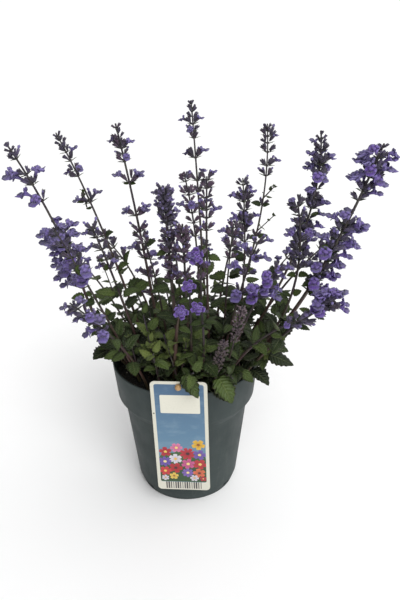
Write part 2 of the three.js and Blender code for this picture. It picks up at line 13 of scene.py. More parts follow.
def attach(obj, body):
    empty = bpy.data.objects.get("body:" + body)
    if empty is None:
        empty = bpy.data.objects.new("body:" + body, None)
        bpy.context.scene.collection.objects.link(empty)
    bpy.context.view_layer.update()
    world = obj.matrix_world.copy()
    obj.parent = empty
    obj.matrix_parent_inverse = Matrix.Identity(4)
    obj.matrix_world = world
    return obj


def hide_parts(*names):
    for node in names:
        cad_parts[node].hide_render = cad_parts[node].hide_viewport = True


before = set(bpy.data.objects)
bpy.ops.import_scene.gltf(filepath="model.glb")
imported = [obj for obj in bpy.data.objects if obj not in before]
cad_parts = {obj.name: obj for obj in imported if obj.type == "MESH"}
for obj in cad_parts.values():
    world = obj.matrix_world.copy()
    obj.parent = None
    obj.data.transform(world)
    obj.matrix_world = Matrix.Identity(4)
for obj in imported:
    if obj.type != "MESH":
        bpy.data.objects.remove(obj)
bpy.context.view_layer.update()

MM = 0.001
UP = Vector((0, 0, 1))
chance = random.Random(11)
pick = chance.uniform

# ---- Camera ----
CAMERA_PLACE = Vector((0, -524.6, 441.8))
CAMERA_AIM = Vector((0.0244, 0.9012, -0.4327))
CAMERA_ROLL = -0.0118
CAMERA_LENS = 39
CAMERA_SENSOR = 36

camera_data = bpy.data.cameras.new("camera")
camera_data.sensor_width = CAMERA_SENSOR
camera_data.lens = CAMERA_LENS
camera = bpy.data.objects.new("camera", camera_data)
bpy.context.scene.collection.objects.link(camera)
camera.location = CAMERA_PLACE * MM
camera.rotation_mode = "QUATERNION"
aim = CAMERA_AIM.to_track_quat("-Z", "Y")
camera.rotation_quaternion = aim @ Quaternion((0, 0, 1), CAMERA_ROLL)
bpy.context.scene.camera = camera

# ---- The pot, the soil, the label and its peg ----
POT_HEIGHT = 133.6
RIM_RADIUS = 67.5
COLLAR_HEIGHT = 33.4
COLLAR_FOOT_RADIUS = 64.2
SHOULDER_HEIGHT = 9.2
BODY_TOP_RADIUS = 57.9
BODY_FOOT_RADIUS = 48.6
BEVEL_HEIGHT = 9.5
BASE_RADIUS = 45.2
PAD_RADIUS = 32
RING_RADIUS = 39.5
GROOVE_DEPTH = 1.2
GROOVE_SLOPE = 1
WALL = 1.6
FLOOR = 3
INNER_RISE = 0.8
ROUNDING = 0.5  # of the pot's edges
DRAIN_SIZE = Vector((10, 10, 3.6))  # along the wall, through it and up
DRAIN_FOOT = 3.6
DRAIN_ANGLES = [52, 128, 232, 308]
POT_SEGMENTS = 144
SOIL_RADIUS = 63.6
SOIL_EDGE = 118.6  # height of the soil at the wall
SOIL_CROWN = 3
SOIL_LUMPS = 1.6
SOIL_CALM = 6  # the lumps grow from the wall to this far from it
SOIL_SINK = 0.3
COARSE_LUMPS = 0.09  # lumps per millimetre
FINE_LUMPS = 0.42
FINE_OFFSET = Vector((0, 0, 5))
SOIL_RINGS = 44
SOIL_SEGMENTS = 112
FIT_GAP = 0.3
SEAT_GAP = 0.4
LABEL_WIDTH = 48
LABEL_HEIGHT = 126.2
LABEL_THICKNESS = 0.5
LABEL_CORNER = 4
LABEL_ABOVE_RIM = 15.3
LABEL_TILT = 0.6  # degrees about its hole, its foot to the right
LABEL_TURN = 5.9  # degrees round the pot, from the front to the left
LABEL_SHIFT = 0.7  # to the right, along the label
LABEL_HOLE_DROP = 4.8
LABEL_HOLE_RADIUS = 2.6
LABEL_CORNER_STEPS = 8
LABEL_HOLE_STEPS = 32
BLANK = (0, 90)  # a place on the print that is plain cream
PEG_HEAD_RADIUS = 2.8
PEG_HEAD_RINGS = 16
PEG_RADIUS = 0.9
PEG_END_RADIUS = 0.3
PEG_POINT = 8  # length of the shank's pointed end
PEG_RAISE = 0.5
PEG_HEAD_OUT = 2.6
PEG_LENGTH = 56
PEG_SLOPE = 28

# ---- The plant ----
# A stem runs from its foot on the soil through its middle to its tip. Its whorls are (distance
# below the tip, reach, open flowers on the left, on the right, at the front), where zeros at the
# end are left out. Its leaves are (distance below the tip, direction in degrees in the front
# view, length). The rest is how it differs from FRESH or SPENT: sway pulls its upper half to the
# right and its lower half to the left, width is half its diagonal at the foot, ripeness is the
# stalk's tone at the tip, calyx and petal are tones between 0 and 1, browning is what the tone of
# the calyces loses per millimetre below the tip, scale is their size, crowd is how densely they
# stand, full gives each whorl bunches behind and in front, bloom is the size of the open flowers,
# buds is the share of the other calyces with a bud, and head is where a round bunch of flowers
# stands from the tip.
FRESH = {
    "node": "flower_stem_", "kind": "calyx", "calyx": 0.68, "browning": 0.0015, "scale": 1, "crowd": 1,
    "full": False, "petal": 0.4, "bloom": 0.86, "buds": 0.25, "sway": 0, "width": 1.3, "ripeness": 1,
}
SPENT = {
    **FRESH, "node": "spent_stem_", "kind": "spent_calyx", "calyx": 0.62, "browning": 0.004,
    "scale": 0.46, "crowd": 2.5, "full": True, "buds": 0,
}
stems = {}  # how the stem of each node looks


def stem(name, foot, middle, tip, whorls, leaves=(), base=FRESH, **look):
    own = {"foot": foot, "middle": middle, "tip": tip, "whorls": whorls, "leaves": leaves}
    stems[base["node"] + name] = {**base, **own, **look}


stem(
    "far_left", (-46, -4), (-83, -15, 199), (-131, -30, 339),
    [
        (15, 7), (29, 7, 1), (38, 10, 1, 1), (53, 9, 1, 0, 1), (86, 13, 2, 1, 1), (94, 13, 2, 1, 1),
        (108, 13, 2, 1, 1), (116, 12, 2, 0, 1), (129, 12, 2, 0, 1), (137, 10, 1),
    ],
    [(146, 183, 13), (140, -40, 8)],
    sway=22, petal=0.45, bloom=1.14, calyx=0.8, browning=0.0005, crowd=0.75,
)
stem(
    "left_low", (-42, -22), (-64, -46, 197), (-94, -72, 286),
    [(8, 6, 1, 1), (20, 9, 1), (31, 10, 0, 1), (44, 9, 1, 0, 1), (56, 7, 1, 0, 1)],
    [(36, -62, 13), (78, 200, 14), (80, 20, 14)],
    bloom=1.04, petal=0.28, browning=0,
)
stem(
    "left_drooping", (-34, -36), (-50, -62, 176), (-84, -92, 234),
    [(10, 8, 1, 1), (19, 10, 1, 0, 1), (28, 9, 1), (36, 8, 0, 1), (44, 7, 1, 0, 1)],
    bloom=1.06, petal=0.2, browning=0,
)
stem(
    "left_tall", (-34, 16), (-69, 26, 242), (-106, 40, 332),
    [(19, 6), (27, 8, 0, 1), (36, 6, 0, 0, 1), (41, 8, 1), (66, 10, 1, 1), (98, 7, 1), (121, 8, 1)],
    [(70, 190, 7), (98, 42, 12), (130, 28, 14), (152, 197, 26), (152, 30, 24), (136, 80, 9)],
    petal=0.28, bloom=0.8,
)
stem(
    "left_inner", (-34, -12), (-56, -17, 209), (-73, -25, 270),
    [(4, 7), (12, 9, 1), (24, 9, 1), (34, 8), (43, 9, 1, 1)],
    [(66, 185, 20), (70, 20, 20)],
)
stem(
    "centre_left", (-20, 4), (-35, -2, 249), (-50, -10, 348),
    [
        (21, 9, 1, 1), (27, 5, 0, 0, 1), (32, 7), (50, 10, 1, 2), (79, 10, 2, 2), (94, 9), (101, 9),
        (111, 10, 1), (119, 9), (135, 9, 1, 1), (156, 8, 0, 1),
    ],
    [(49, 183, 6), (50, 10, 6), (106, 20, 15), (140, 200, 20), (144, -15, 18)],
    calyx=0.58, petal=0.3, bloom=0.8, crowd=1.15,
)
stem(
    "centre_left_low", (-13, -6), (-21, -16, 200), (-31, -28, 258), [(4, 7), (20, 8, 0, 1), (38, 7)],
    calyx=0.3,
)
stem(
    "front_thick", (-4, -20), (-9, -37, 209), (-13, -60, 310),
    [
        (5, 9), (10, 10, 1), (15, 10, 0, 1), (20, 10, 1), (25, 10, 0, 1), (30, 9, 0, 1), (43, 9),
        (50, 9, 0, 1), (58, 10), (66, 8, 1), (76, 9, 0, 0, 1), (84, 8),
    ],
    [(56, 200, 11), (92, 190, 18), (96, 10, 18)],
    width=2.1, crowd=1.6, calyx=0.88, browning=0.0075, petal=0.1, bloom=0.72, scale=0.86, buds=0.45,
    full=True,
)
stem(
    "front_twin", (3, -28), (2, -44, 200), (0, -62, 283),
    [(9, 7), (17, 9), (26, 9), (35, 8, 0, 1), (50, 7)],
    crowd=1.8, calyx=0.25, petal=0.15, bloom=0.7, scale=0.9, buds=0.4, full=True,
)
stem(
    "centre_short", (12, 6), (13, 11, 222), (2, 17, 302),
    [(9, 7), (21, 9), (28, 6, 0, 0, 1), (37, 9, 1), (46, 8), (58, 8)],
    calyx=0.45,
)
stem(
    "centre_tall", (22, 22), (16, 38, 255), (10, 60, 354),
    [
        (21, 9, 1, 1), (27, 5, 0, 0, 1), (33, 7), (50, 10, 1, 1), (70, 9, 1, 1), (80, 8), (95, 7, 0, 1),
        (114, 7),
    ],
    [(93, 185, 7), (94, 5, 9)],
    petal=0.28, bloom=0.8,
)
stem(
    "centre_front", (22, -9), (20, -16, 231), (20, -25, 309),
    [(4, 9, 0, 1), (11, 9), (19, 7), (30, 9), (37, 8, 0, 1), (48, 8)],
    [(72, 2, 13), (74, 175, 12), (90, -10, 10)],
    calyx=0.5,
)
stem(
    "front_low", (13, -20), (14, -38, 204), (13, -52, 257), [(7, 8, 1), (17, 8, 0, 1), (30, 7)],
    calyx=0.3, petal=0.85, bloom=0.64, head=(-3, 0, -4),
)
stem(
    "front_bright", (4, -40), (5, -58, 190), (4, -72, 236), [(4, 5)],
    [(14, 185, 11), (15, 0, 12)],
    petal=0.85, bloom=0.52, head=(-0.5, 0, 1),
)
stem(
    "front_bright_left", (-10, -40), (-8, -62, 178), (-3, -80, 220), [(4, 5)],
    [(14, 170, 10), (16, 20, 10)],
    width=2.6, petal=0.85, ripeness=0.35, bloom=0.52, head=(0, 0, -1),
)
stem(
    "front_bright_right", (14, -42), (15, -64, 179), (13, -80, 221), [(4, 5)],
    [(14, 200, 10), (15, 10, 12)],
    petal=0.85, bloom=0.52, head=(-3, 0, 1),
)
stem(
    "right_inner", (44, 12), (55, 22, 197), (54, 35, 291),
    [(7, 8), (14, 7, 0, 1), (22, 12, 1, 1), (30, 10), (41, 12, 1, 1, 1), (49, 9), (58, 8, 1)],
    [(70, 180, 9), (84, 190, 13), (86, 10, 13)],
)
stem(
    "right_inner_low", (34, 0), (38, -4, 204), (43, -8, 264), [(5, 7), (13, 9, 1), (22, 9), (33, 7)],
    [(48, 190, 16), (50, 5, 12), (60, 195, 18)],
    calyx=0.4,
)
stem(
    "right_forked", (38, 28), (63, 44, 210), (78, 65, 332),
    [(12, 10), (18, 8, 0, 1), (26, 9), (38, 10, 0, 1), (47, 9), (73, 5), (103, 5)],
    [(73, 165, 11), (74, 25, 8), (103, 5, 12), (103, 184, 9)],
    sway=12, petal=0.28, bloom=0.8,
)
stem(
    "right_tall", (48, 4), (96, 9, 222), (116, 15, 335),
    [
        (18, 9, 1), (29, 13, 1, 2), (41, 12, 2, 1, 2), (50, 8), (60, 10, 1), (67, 12, 0, 2),
        (77, 8, 0, 1), (88, 11, 1, 1, 1), (97, 12, 1, 2), (106, 9),
    ],
    [(72, 5, 12), (150, -45, 21), (140, 165, 16)],
    sway=12, bloom=1.0, browning=0.0003,
)
stem(
    "right_front", (38, -20), (88, -28, 196), (90, -38, 291),
    [(5, 9, 1), (13, 9), (21, 8), (36, 8, 1), (44, 10, 0, 1), (52, 11, 1), (60, 10)],
    [(66, 176, 9), (66, 4, 11), (86, 172, 7), (86, 24, 11)],
    crowd=1.3, browning=0.0003,
)
stem(
    "right_middle", (30, -14), (47, -26, 206), (61, -34, 258),
    [(4, 7, 0, 1), (18, 9, 1, 1, 1), (34, 8, 1), (54, 8, 0, 1, 1)],
    bloom=1.1, petal=0.5, browning=0.0008, crowd=1.3,
)
stem(
    "right_leaning", (34, -24), (54, -42, 196), (74, -56, 242),
    [(3, 8, 0, 1, 1), (14, 9, 1, 1, 1), (24, 9, 0, 1, 1), (35, 8, 1, 2, 1)],
    bloom=1.16, petal=0.5, browning=0.0008, crowd=1.2,
)
stem(
    "far_right", (49, -12), (103, -38, 215), (143, -70, 342),
    [
        (12, 8, 1, 1), (21, 12, 2, 1, 1), (28, 13, 2, 2, 1), (40, 12, 2, 2), (48, 10, 0, 1), (70, 9, 1),
        (77, 13, 1, 3), (85, 10, 0, 1), (97, 13, 1, 3, 1), (106, 12, 0, 2), (118, 13, 1, 3),
        (127, 13, 0, 3, 1), (138, 13, 0, 3),
    ],
    [(97, 140, 13), (128, 185, 12), (140, 5, 12)],
    width=1.9, petal=0.5, bloom=1.15, crowd=0.62, calyx=0.82, browning=0.0005,
)
stem(
    "right_drooping", (47, -26), (83, -58, 186), (115, -84, 226),
    [(8, 11, 2, 1), (14, 12, 2, 1, 1), (22, 12, 2)],
    [(24, 150, 12), (24, -30, 10), (36, 160, 12)],
    bloom=1.32, petal=0.5,
)
stem(
    "right_low", (30, -36), (58, -60, 178), (94, -80, 210), [(4, 9), (10, 10), (16, 9, 0, 0, 1)],
    [(36, -20, 12), (36, 120, 12)],
    crowd=1.5, calyx=0.85,
)
stem(
    "back_far_left", (-42, 26), (-80, 42, 190), (-122, 52, 230),
    [(8, 9, 1, 1), (20, 11, 2, 1), (33, 10, 1, 1), (45, 8, 0, 1)],
)
stem(
    "back_left", (-22, 34), (-48, 62, 186), (-80, 88, 220), [(7, 8, 1, 1), (18, 10, 1, 1), (32, 9, 1, 1)],
)
stem(
    "back_centre", (0, 36), (-6, 66, 194), (-12, 94, 232), [(7, 8, 1, 1), (18, 10, 1, 2), (32, 9, 1)],
)
stem(
    "back_middle", (12, 46), (17, 80, 178), (24, 108, 206), [(7, 8, 1), (18, 9, 1, 1), (32, 8, 0, 1)],
)
stem(
    "back_right", (28, 42), (42, 68, 192), (57, 90, 232), [(7, 8, 1, 1), (18, 9, 1, 1), (32, 9, 1, 1)],
)
stem(
    "back_far_right", (46, 26), (80, 50, 180), (114, 70, 212),
    [(7, 8, 1, 1), (18, 10, 1, 1), (32, 9, 1, 1)],
)
stem(
    "right_back", (50, 16), (98, 20, 200), (150, 22, 246),
    [(8, 9, 1, 1), (20, 11, 1, 2), (33, 10, 1, 1), (46, 8, 1)],
)
stem(
    "right", (28, -44), (38, -58, 170), (46, -64, 214),
    [(4, 5), (9, 7), (14, 8), (19, 8), (24, 8), (29, 7), (35, 6)],
    calyx=0.75, base=SPENT,
)
stem(
    "front", (21, -52), (26, -66, 158), (31, -74, 190),
    [(5, 5), (10, 7), (15, 8), (20, 8), (25, 8), (30, 7), (36, 5)],
    base=SPENT,
)
stem(
    "rim", (54, -22), (63, -28, 148), (77, -37, 158), [(3, 6)],
    base=SPENT,
)
LEAFY_SHOOTS = {
    "front": ((2, -52), (3, -62, 146), (6, -78, 162)),
    "front_left": ((-20, -46), (-24, -57, 150), (-26, -70, 176)),
    "left": ((-50, -10), (-62, -12, 152), (-78, -16, 170)),
    "left_back": ((-48, 14), (-62, 18, 152), (-82, 22, 174)),
    "back_left": ((-30, 42), (-40, 56, 152), (-52, 76, 172)),
    "back": ((-10, 50), (-14, 64, 150), (-20, 84, 170)),
    "back_right": ((22, 50), (28, 66, 150), (36, 86, 168)),
    "right_back": ((46, 33), (57, 43, 152), (78, 56, 170)),
    "right": ((55, -4), (67, -3, 149), (87, -6, 165)),
    "front_right": ((26, -47), (31, -62, 148), (38, -78, 156)),
    "inner_left": ((-22, -26), (-28, -34, 158), (-34, -44, 198)),
    "inner_back": ((-14, 22), (-24, 30, 164), (-32, 40, 206)),
    "inner_right": ((32, 14), (40, 10, 160), (48, 4, 198)),
    "inner_front": ((-12, -32), (-14, -44, 152), (-17, -56, 186)),
}
# Small side shoots: (root, tip, length of a leaf, tone of the leaves).
SPRIGS = [
    ((-60, -16, 205), (-67, -26, 239), 9, 0.7),
    ((-84, 32, 268), (-86, 31, 282), 8, 0.75),
    ((67, 53, 232), (86, 58, 248), 6, 0.6),
    ((73, 59, 262), (85, 57, 276), 7, 0.4),
    ((-27, -52, 160), (-30, -60, 188), 11, 0.8),
    ((-42, -48, 156), (-46, -52, 181), 10, 0.75),
    ((-2, -56, 156), (1, -62, 182), 10, 0.75),
    ((-62, -12, 150), (-72, -22, 168), 15, 0.75),
    ((62, -20, 150), (76, -34, 156), 15, 0.85),
    ((10, -56, 148), (15, -64, 176), 14, 0.65),
    ((-8, -58, 148), (-14, -64, 178), 14, 0.75),
    ((24, -56, 146), (30, -60, 172), 13, 0.55),
    ((-24, -48, 150), (-34, -54, 170), 13, 0.6),
]
# Leaves that hang over the label, the collar and the rim: (root, tip, tone).
HANGING_LEAVES = [
    ((-3, -66, 158), (9, -78, 141), 0.56),
    ((24, -64, 153), (35, -76, 131), 0.66),
    ((28, -64, 150), (25, -75, 141), 0.45),
    ((46, -54, 150), (55, -61, 140), 0.6),
    ((64, -34, 156), (81, -41, 151), 1.0),
    ((-55, -34, 159), (-70, -41, 159), 0.7),
]
CLEARINGS = [  # (x, y, radius, height that it ends at)
    (-46, -38, 24, 152),
    (-62, -12, 16, 147),
    (0, -58, 14, 136),
    (44, -52, 17, 142),
    (72, -26, 16, 146),
]
WATERING_GAPS = [  # (lowest corner, highest corner) of a space without leaves
    ((-50, -38, 121), (-38, -31, 140)),
    ((38, -43, 121), (46, -32, 134)),
    ((-4, 52, 121), (10, 61, 134)),
]


# ---- Building node trees ----
def linear(tint):
    """A linear colour from three display values. A socket or a linear colour stays as it is."""
    if isinstance(tint, bpy.types.NodeSocket) or len(tint) == 4:
        return tint
    shares = [value / 255 for value in tint]
    return (*[v / 12.92 if v <= 0.04045 else ((v + 0.055) / 1.055) ** 2.4 for v in shares], 1)


class Nodes:
    """Adds nodes to a tree. Each input is the output socket of another node, or a plain value."""

    def __init__(self, tree):
        self.tree = tree

    def give(self, socket, value):
        if isinstance(value, bpy.types.NodeSocket):
            self.tree.links.new(value, socket)
        else:
            socket.default_value = value

    def add(self, kind, inputs=None, **settings):
        """A node with its settings first, then its inputs."""
        made = self.tree.nodes.new(kind)
        for key, value in settings.items():
            setattr(made, key, value)
        for key, value in (inputs or {}).items():
            self.give(made.inputs[key], value)
        return made

    def calc(self, operation, first, second=0.0):
        return self.add("ShaderNodeMath", {0: first, 1: second}, operation=operation).outputs[0]

    def plus(self, first, second):
        return self.calc("ADD", first, second)

    def minus(self, first, second):
        return self.calc("SUBTRACT", first, second)

    def times(self, first, second):
        return self.calc("MULTIPLY", first, second)

    def vector(self, operation, *values):
        made = self.add("ShaderNodeVectorMath", dict(enumerate(values)), operation=operation)
        return made.outputs["Value" if operation == "LENGTH" else "Vector"]

    def parts(self, vector):
        return self.add("ShaderNodeSeparateXYZ", {"Vector": vector}).outputs

    def mixed(self, share, first, second, blend="MIX"):
        inputs = {0: share, 6: linear(first), 7: linear(second)}
        return self.add("ShaderNodeMix", inputs, data_type="RGBA", blend_type=blend).outputs[2]

    def ramp(self, share, *stops):
        """A colour ramp through (position, colour) stops."""
        made = self.add("ShaderNodeValToRGB", {"Fac": share})
        elements = made.color_ramp.elements
        while len(elements) < len(stops):
            elements.new(0.5)
        for element, (position, tint) in zip(elements, stops):
            element.position = position
            element.color = linear(tint)
        return made.outputs["Color"]

    def noted(self, name, kind="FLOAT"):
        """An attribute of the points."""
        inputs = {"Name": name}
        made = self.add("GeometryNodeInputNamedAttribute", inputs, data_type=kind)
        return made.outputs["Attribute"]

    def between(self, value, low, high, out_low=0.0, out_high=1.0):
        """value moved from the range low..high to the range out_low..out_high."""
        inputs = {"Value": value, 1: low, 2: high, 3: out_low, 4: out_high}
        return self.add("ShaderNodeMapRange", inputs, clamp=True).outputs[0]


class Surface(Nodes):
    """A new material. Its noise lies in the object's own place unless another is given."""

    def __init__(self, name):
        self.material = bpy.data.materials.new(name)
        self.material.use_nodes = True
        super().__init__(self.material.node_tree)
        self.place = self.add("ShaderNodeTexCoord").outputs["Object"]
        self.base = None

    def grain(self, scale, detail=3.0, roughness=0.55, place=None):
        inputs = {"Vector": place or self.place, "Scale": scale}
        inputs.update({"Detail": detail, "Roughness": roughness})
        return self.add("ShaderNodeTexNoise", inputs).outputs["Fac"]

    def streaks(self, across, upward, roughness=0.55):
        """Noise that is drawn out along Z."""
        inputs = {"Vector": self.place, "Scale": (across, across, upward)}
        return self.grain(1.0, 4, roughness, self.add("ShaderNodeMapping", inputs).outputs[0])

    def cells(self, scale):
        inputs = {"Vector": self.place, "Scale": scale}
        return self.add("ShaderNodeTexVoronoi", inputs, feature="F1").outputs["Distance"]

    def own_uv(self):
        """The piece's own coordinates: both in one, then the one across and the one along."""
        uv = self.add("ShaderNodeUVMap", uv_map="shape").outputs["UV"]
        parts = self.parts(uv)
        return uv, parts["X"], parts["Y"]

    def tint_by_tone(self, *stops):
        """The base colour follows each copy's tone, from 0 to 1."""
        tone = self.add("ShaderNodeAttribute", attribute_name="tone").outputs["Fac"]
        self.base = self.ramp(tone, *stops)

    def lay(self, share, tint):
        """Lays a share of another colour over the base colour."""
        self.base = self.mixed(share, self.base, tint)

    def finish(self, rough, bump, specular=0.5, sheen=0.0):
        """Sets the shader. rough is (noise, roughness where it is low, where it is high), and bump
        is (height, strength, distance in millimetres)."""
        noise_value, low, high = rough
        height, strength, distance = bump
        inputs = {"Height": height, "Strength": strength, "Distance": distance * MM}
        shader = self.tree.nodes["Principled BSDF"].inputs
        self.give(shader["Base Color"], self.base)
        self.give(shader["Roughness"], self.between(noise_value, 0.3, 0.7, low, high))
        self.give(shader["Normal"], self.add("ShaderNodeBump", inputs).outputs[0])
        self.give(shader["Specular IOR Level"], specular)
        self.give(shader["Sheen Weight"], sheen)
        return self.material


# ---- Materials ----
def pot_plastic():
    made = Surface("pot_plastic")
    cloud = made.grain(22, 4)
    made.base = made.ramp(cloud, (0.3, (49, 57, 57)), (0.7, (57, 66, 65)))
    near_ground = made.between(made.parts(made.place)["Z"], 0.13, 0.0, 0.05, 0.3)
    dust = made.times(made.between(made.streaks(260, 26, 0.7), 0.52, 0.8), near_ground)
    made.lay(dust, (104, 106, 100))
    specks = made.between(made.cells(420), 0.12, 0.05)
    made.lay(made.times(specks, 0.35), (88, 90, 84))
    height = made.plus(made.grain(900, 2), made.times(cloud, 0.6))
    return made.finish((made.grain(60, 5), 0.55, 0.72), (height, 0.25, 0.12), specular=0.25)


def potting_soil():
    made = Surface("potting_soil")
    crumbs = made.cells(420)
    fibres = made.grain(260, 6, 0.7)
    made.base = made.ramp(fibres, (0.3, (14, 11, 10)), (0.55, (26, 21, 17)), (0.75, (54, 42, 31)))
    made.lay(made.between(crumbs, 0.1, 0.6, 0.75, 0.0), (14, 11, 9))
    height = made.minus(fibres, made.times(crumbs, 0.8))
    return made.finish((fibres, 0.95, 0.75), (height, 0.9, 1.2))


def crumb_material():
    made = Surface("bark_crumb")
    made.tint_by_tone(
        (0.0, (13, 10, 9)), (0.55, (32, 24, 19)), (0.85, (64, 48, 34)), (1.0, (168, 160, 146)),
    )
    grain = made.grain(700, 4)
    made.lay(made.between(grain, 0.4, 0.7, 0.0, 0.5), (14, 10, 8))
    return made.finish((grain, 0.9, 0.7), (grain, 0.8, 0.5))


def stalk_material():
    made = Surface("stalk")
    made.tint_by_tone(
        (0.0, (76, 64, 42)), (0.2, (74, 48, 44)), (0.6, (52, 40, 46)), (1.0, (50, 42, 54)),
    )
    streaks = made.streaks(500, 60)
    made.lay(made.between(streaks, 0.45, 0.75, 0.0, 0.55), (78, 84, 52))
    height = made.plus(streaks, made.times(made.grain(1500, 2), 0.5))
    return made.finish((streaks, 0.75, 0.55), (height, 0.5, 0.3))


def leaf_material():
    """The rib is where the fraction of the coordinate across is a half, and the underside is where
    that coordinate is above 1.5."""
    made = Surface("leaf")
    _, across, along = made.own_uv()
    off_rib = made.calc("ABSOLUTE", made.minus(made.calc("FRACT", across), 0.5))
    climb = made.minus(made.times(along, 8), made.times(off_rib, 3.6))
    wave = made.calc("PINGPONG", climb, 0.5)
    side_vein = made.between(wave, 0.12, 0.0)
    vein = made.calc("MAXIMUM", made.between(off_rib, 0.05, 0.012), made.times(side_vein, 0.8))
    blotches = made.grain(120, 4)
    made.tint_by_tone(
        (0.0, (21, 31, 13)), (0.35, (44, 60, 23)), (0.7, (74, 91, 40)), (1.0, (110, 122, 62)),
    )
    darker = made.mixed(1.0, made.base, (0.55, 0.6, 0.5, 1), "MULTIPLY")
    made.base = made.mixed(made.between(blotches, 0.3, 0.7), darker, made.base)
    paler = made.mixed(0.45, made.base, (150, 160, 105))
    made.lay(made.times(vein, 0.35), paler)
    made.lay(made.between(off_rib, 0.4, 0.5, 0.0, 0.35), (92, 78, 62))
    underside = made.between(across, 1.4, 1.6)
    made.lay(made.times(underside, 0.6), (122, 132, 98))
    pucker = made.times(made.grain(650, 3), 0.5)
    height = made.minus(made.plus(made.between(wave, 0.0, 0.4), pucker), vein)
    return made.finish((blotches, 0.62, 0.48), (height, 0.7, 0.7), specular=0.35)


def petal_material():
    """The tube is where the coordinate along is below a half, and the lobes are above 0.6."""
    made = Surface("petal")
    _, across, along = made.own_uv()
    made.tint_by_tone(
        (0.0, (86, 77, 104)), (0.3, (105, 98, 144)), (0.65, (104, 88, 152)),
        (1.0, (100, 64, 156)),
    )
    made.lay(made.times(made.between(along, 0.5, 0.15), 0.7), (58, 46, 84))
    throat = made.times(made.between(along, 0.5, 0.56), made.between(along, 0.72, 0.6))
    made.lay(made.times(throat, 0.3), (156, 140, 188))
    lines = made.between(made.calc("PINGPONG", made.times(across, 6), 0.5), 0.14, 0.02)
    made.lay(made.times(lines, 0.3), (52, 40, 92))
    mottle = made.grain(480, 3)
    made.lay(made.between(mottle, 0.35, 0.7, 0.0, 0.3), (122, 102, 168))
    # Painted highlight: the far ends of the lobes are made paler.
    made.lay(made.between(along, 0.8, 1.0, 0.0, 0.62), (152, 144, 192))
    height = made.minus(mottle, lines)
    return made.finish((mottle, 0.7, 0.5), (height, 0.5, 0.25), specular=0.25, sheen=0.15)


def calyx_material(name, low, middle, high, foot, *tones):
    made = Surface(name)
    _, across, along = made.own_uv()
    made.tint_by_tone(*tones, (0.6, low), (0.75, middle), (1.0, high))
    made.lay(made.between(along, 0.4, 0.0, 0.0, 0.6), foot)
    ribs = made.between(made.calc("PINGPONG", made.times(across, 15), 0.5), 0.3, 0.05)
    made.lay(made.times(ribs, 0.4), low)
    down = made.grain(1200, 3)
    made.lay(made.between(down, 0.45, 0.75, 0.0, 0.35), high)
    return made.finish((down, 0.85, 0.65), (made.minus(down, ribs), 0.6, 0.25), sheen=0.2)


def peg_plastic():
    made = Surface("peg_plastic")
    cloud = made.grain(380, 4)
    made.base = made.ramp(cloud, (0.3, (158, 122, 80)), (0.7, (186, 150, 102)))
    return made.finish((cloud, 0.5, 0.35), (cloud, 0.3, 0.1))


def floor_material():
    made = Surface("floor")
    cloud = made.grain(3, 3)
    made.base = made.ramp(cloud, (0.3, (0.93, 0.93, 0.93, 1)), (0.7, (0.96, 0.96, 0.96, 1)))
    return made.finish((cloud, 0.75, 0.85), (made.grain(400, 2), 0.05, 0.1), specular=0.2)


# ---- The label's print ----
# Each group lays one form over a base colour. Places and sizes are in millimetres, from the
# middle of the label's top edge, and depths are negative.
CARD_CREAM = (206, 204, 190)
PICTURE_FRAME = (0, -59.6, 21, 56.8, 2)  # x, depth, half width, half height, corner
MEADOW = (0, -101, 21, 15, 1.5, (46, 72, 40))
PANELS = [  # the same five and a colour
    (0.4, -24.2, 17, 9.9, 1.2, (214, 212, 198)),
    (-22.5, -34.7, 0.6, 0.7, 0.5, (40, 36, 34)),
]
LEAF_TUFTS = [(-15.8, -87), (-9, -85), (0, -88), (8.4, -84.5), (15.8, -86.5), (-3, -83)]
TUFT = (5, 5, 4.9, (52, 84, 44))
BLOSSOMS = [  # (x, depth, radius, petals, turn, colour, heart)
    (-15, -79, 5.6, 5, 0.2, (168, 36, 50), (222, 190, 90)),
    (-5, -74, 5.4, 6, 0.5, (206, 112, 150), (232, 206, 120)),
    (14.6, -70, 5.9, 5, 0.9, (214, 168, 52), (132, 74, 30)),
    (4.8, -81, 7.1, 8, 0.1, (176, 42, 54), (50, 26, 34)),
    (15.4, -82, 5.9, 5, 0.6, (108, 84, 158), (226, 204, 120)),
    (-6.4, -87.5, 5.9, 6, 0.0, (210, 206, 214), (214, 170, 70)),
    (-16, -91, 5.9, 8, 0.3, (104, 78, 160), (226, 208, 140)),
    (-6.6, -98.6, 6.1, 5, 0.7, (172, 38, 46), (50, 26, 30)),
    (4.8, -93.4, 6.1, 6, 0.2, (190, 84, 134), (228, 208, 130)),
    (15.6, -93.6, 6.1, 5, 0.8, (178, 46, 54), (224, 198, 110)),
    (-16.2, -102.6, 5.4, 6, 0.4, (196, 52, 58), (226, 190, 90)),
    (4.2, -104.4, 5.4, 8, 0.4, (120, 92, 168), (230, 210, 130)),
    (14.6, -104.6, 5.6, 5, 0.1, (206, 104, 70), (70, 34, 30)),
    (-8.6, -108.8, 4.1, 5, 0.4, (220, 188, 84), (140, 84, 40)),
    (-16.6, -111.2, 3.4, 6, 0.1, (206, 200, 210), (206, 160, 60)),
    (10, -111, 3.9, 6, 0.6, (206, 200, 210), (206, 160, 60)),
    (18, -111.6, 3.2, 5, 0.2, (170, 40, 60), (224, 190, 110)),
]
BARS = 16
BAR_STEP = 2.1
BAR_WIDTHS = (0.63, 0.35, 0.49, 0.77)  # half widths, taken in turn
BAR_PLACE = (-120.6, 4.2, 0.1)  # depth, half height, corner
BAR_INK = (70, 64, 66)
EVERY_FORM = {"Base": "Color", "Place": "Vector", "Centre": "Vector"}


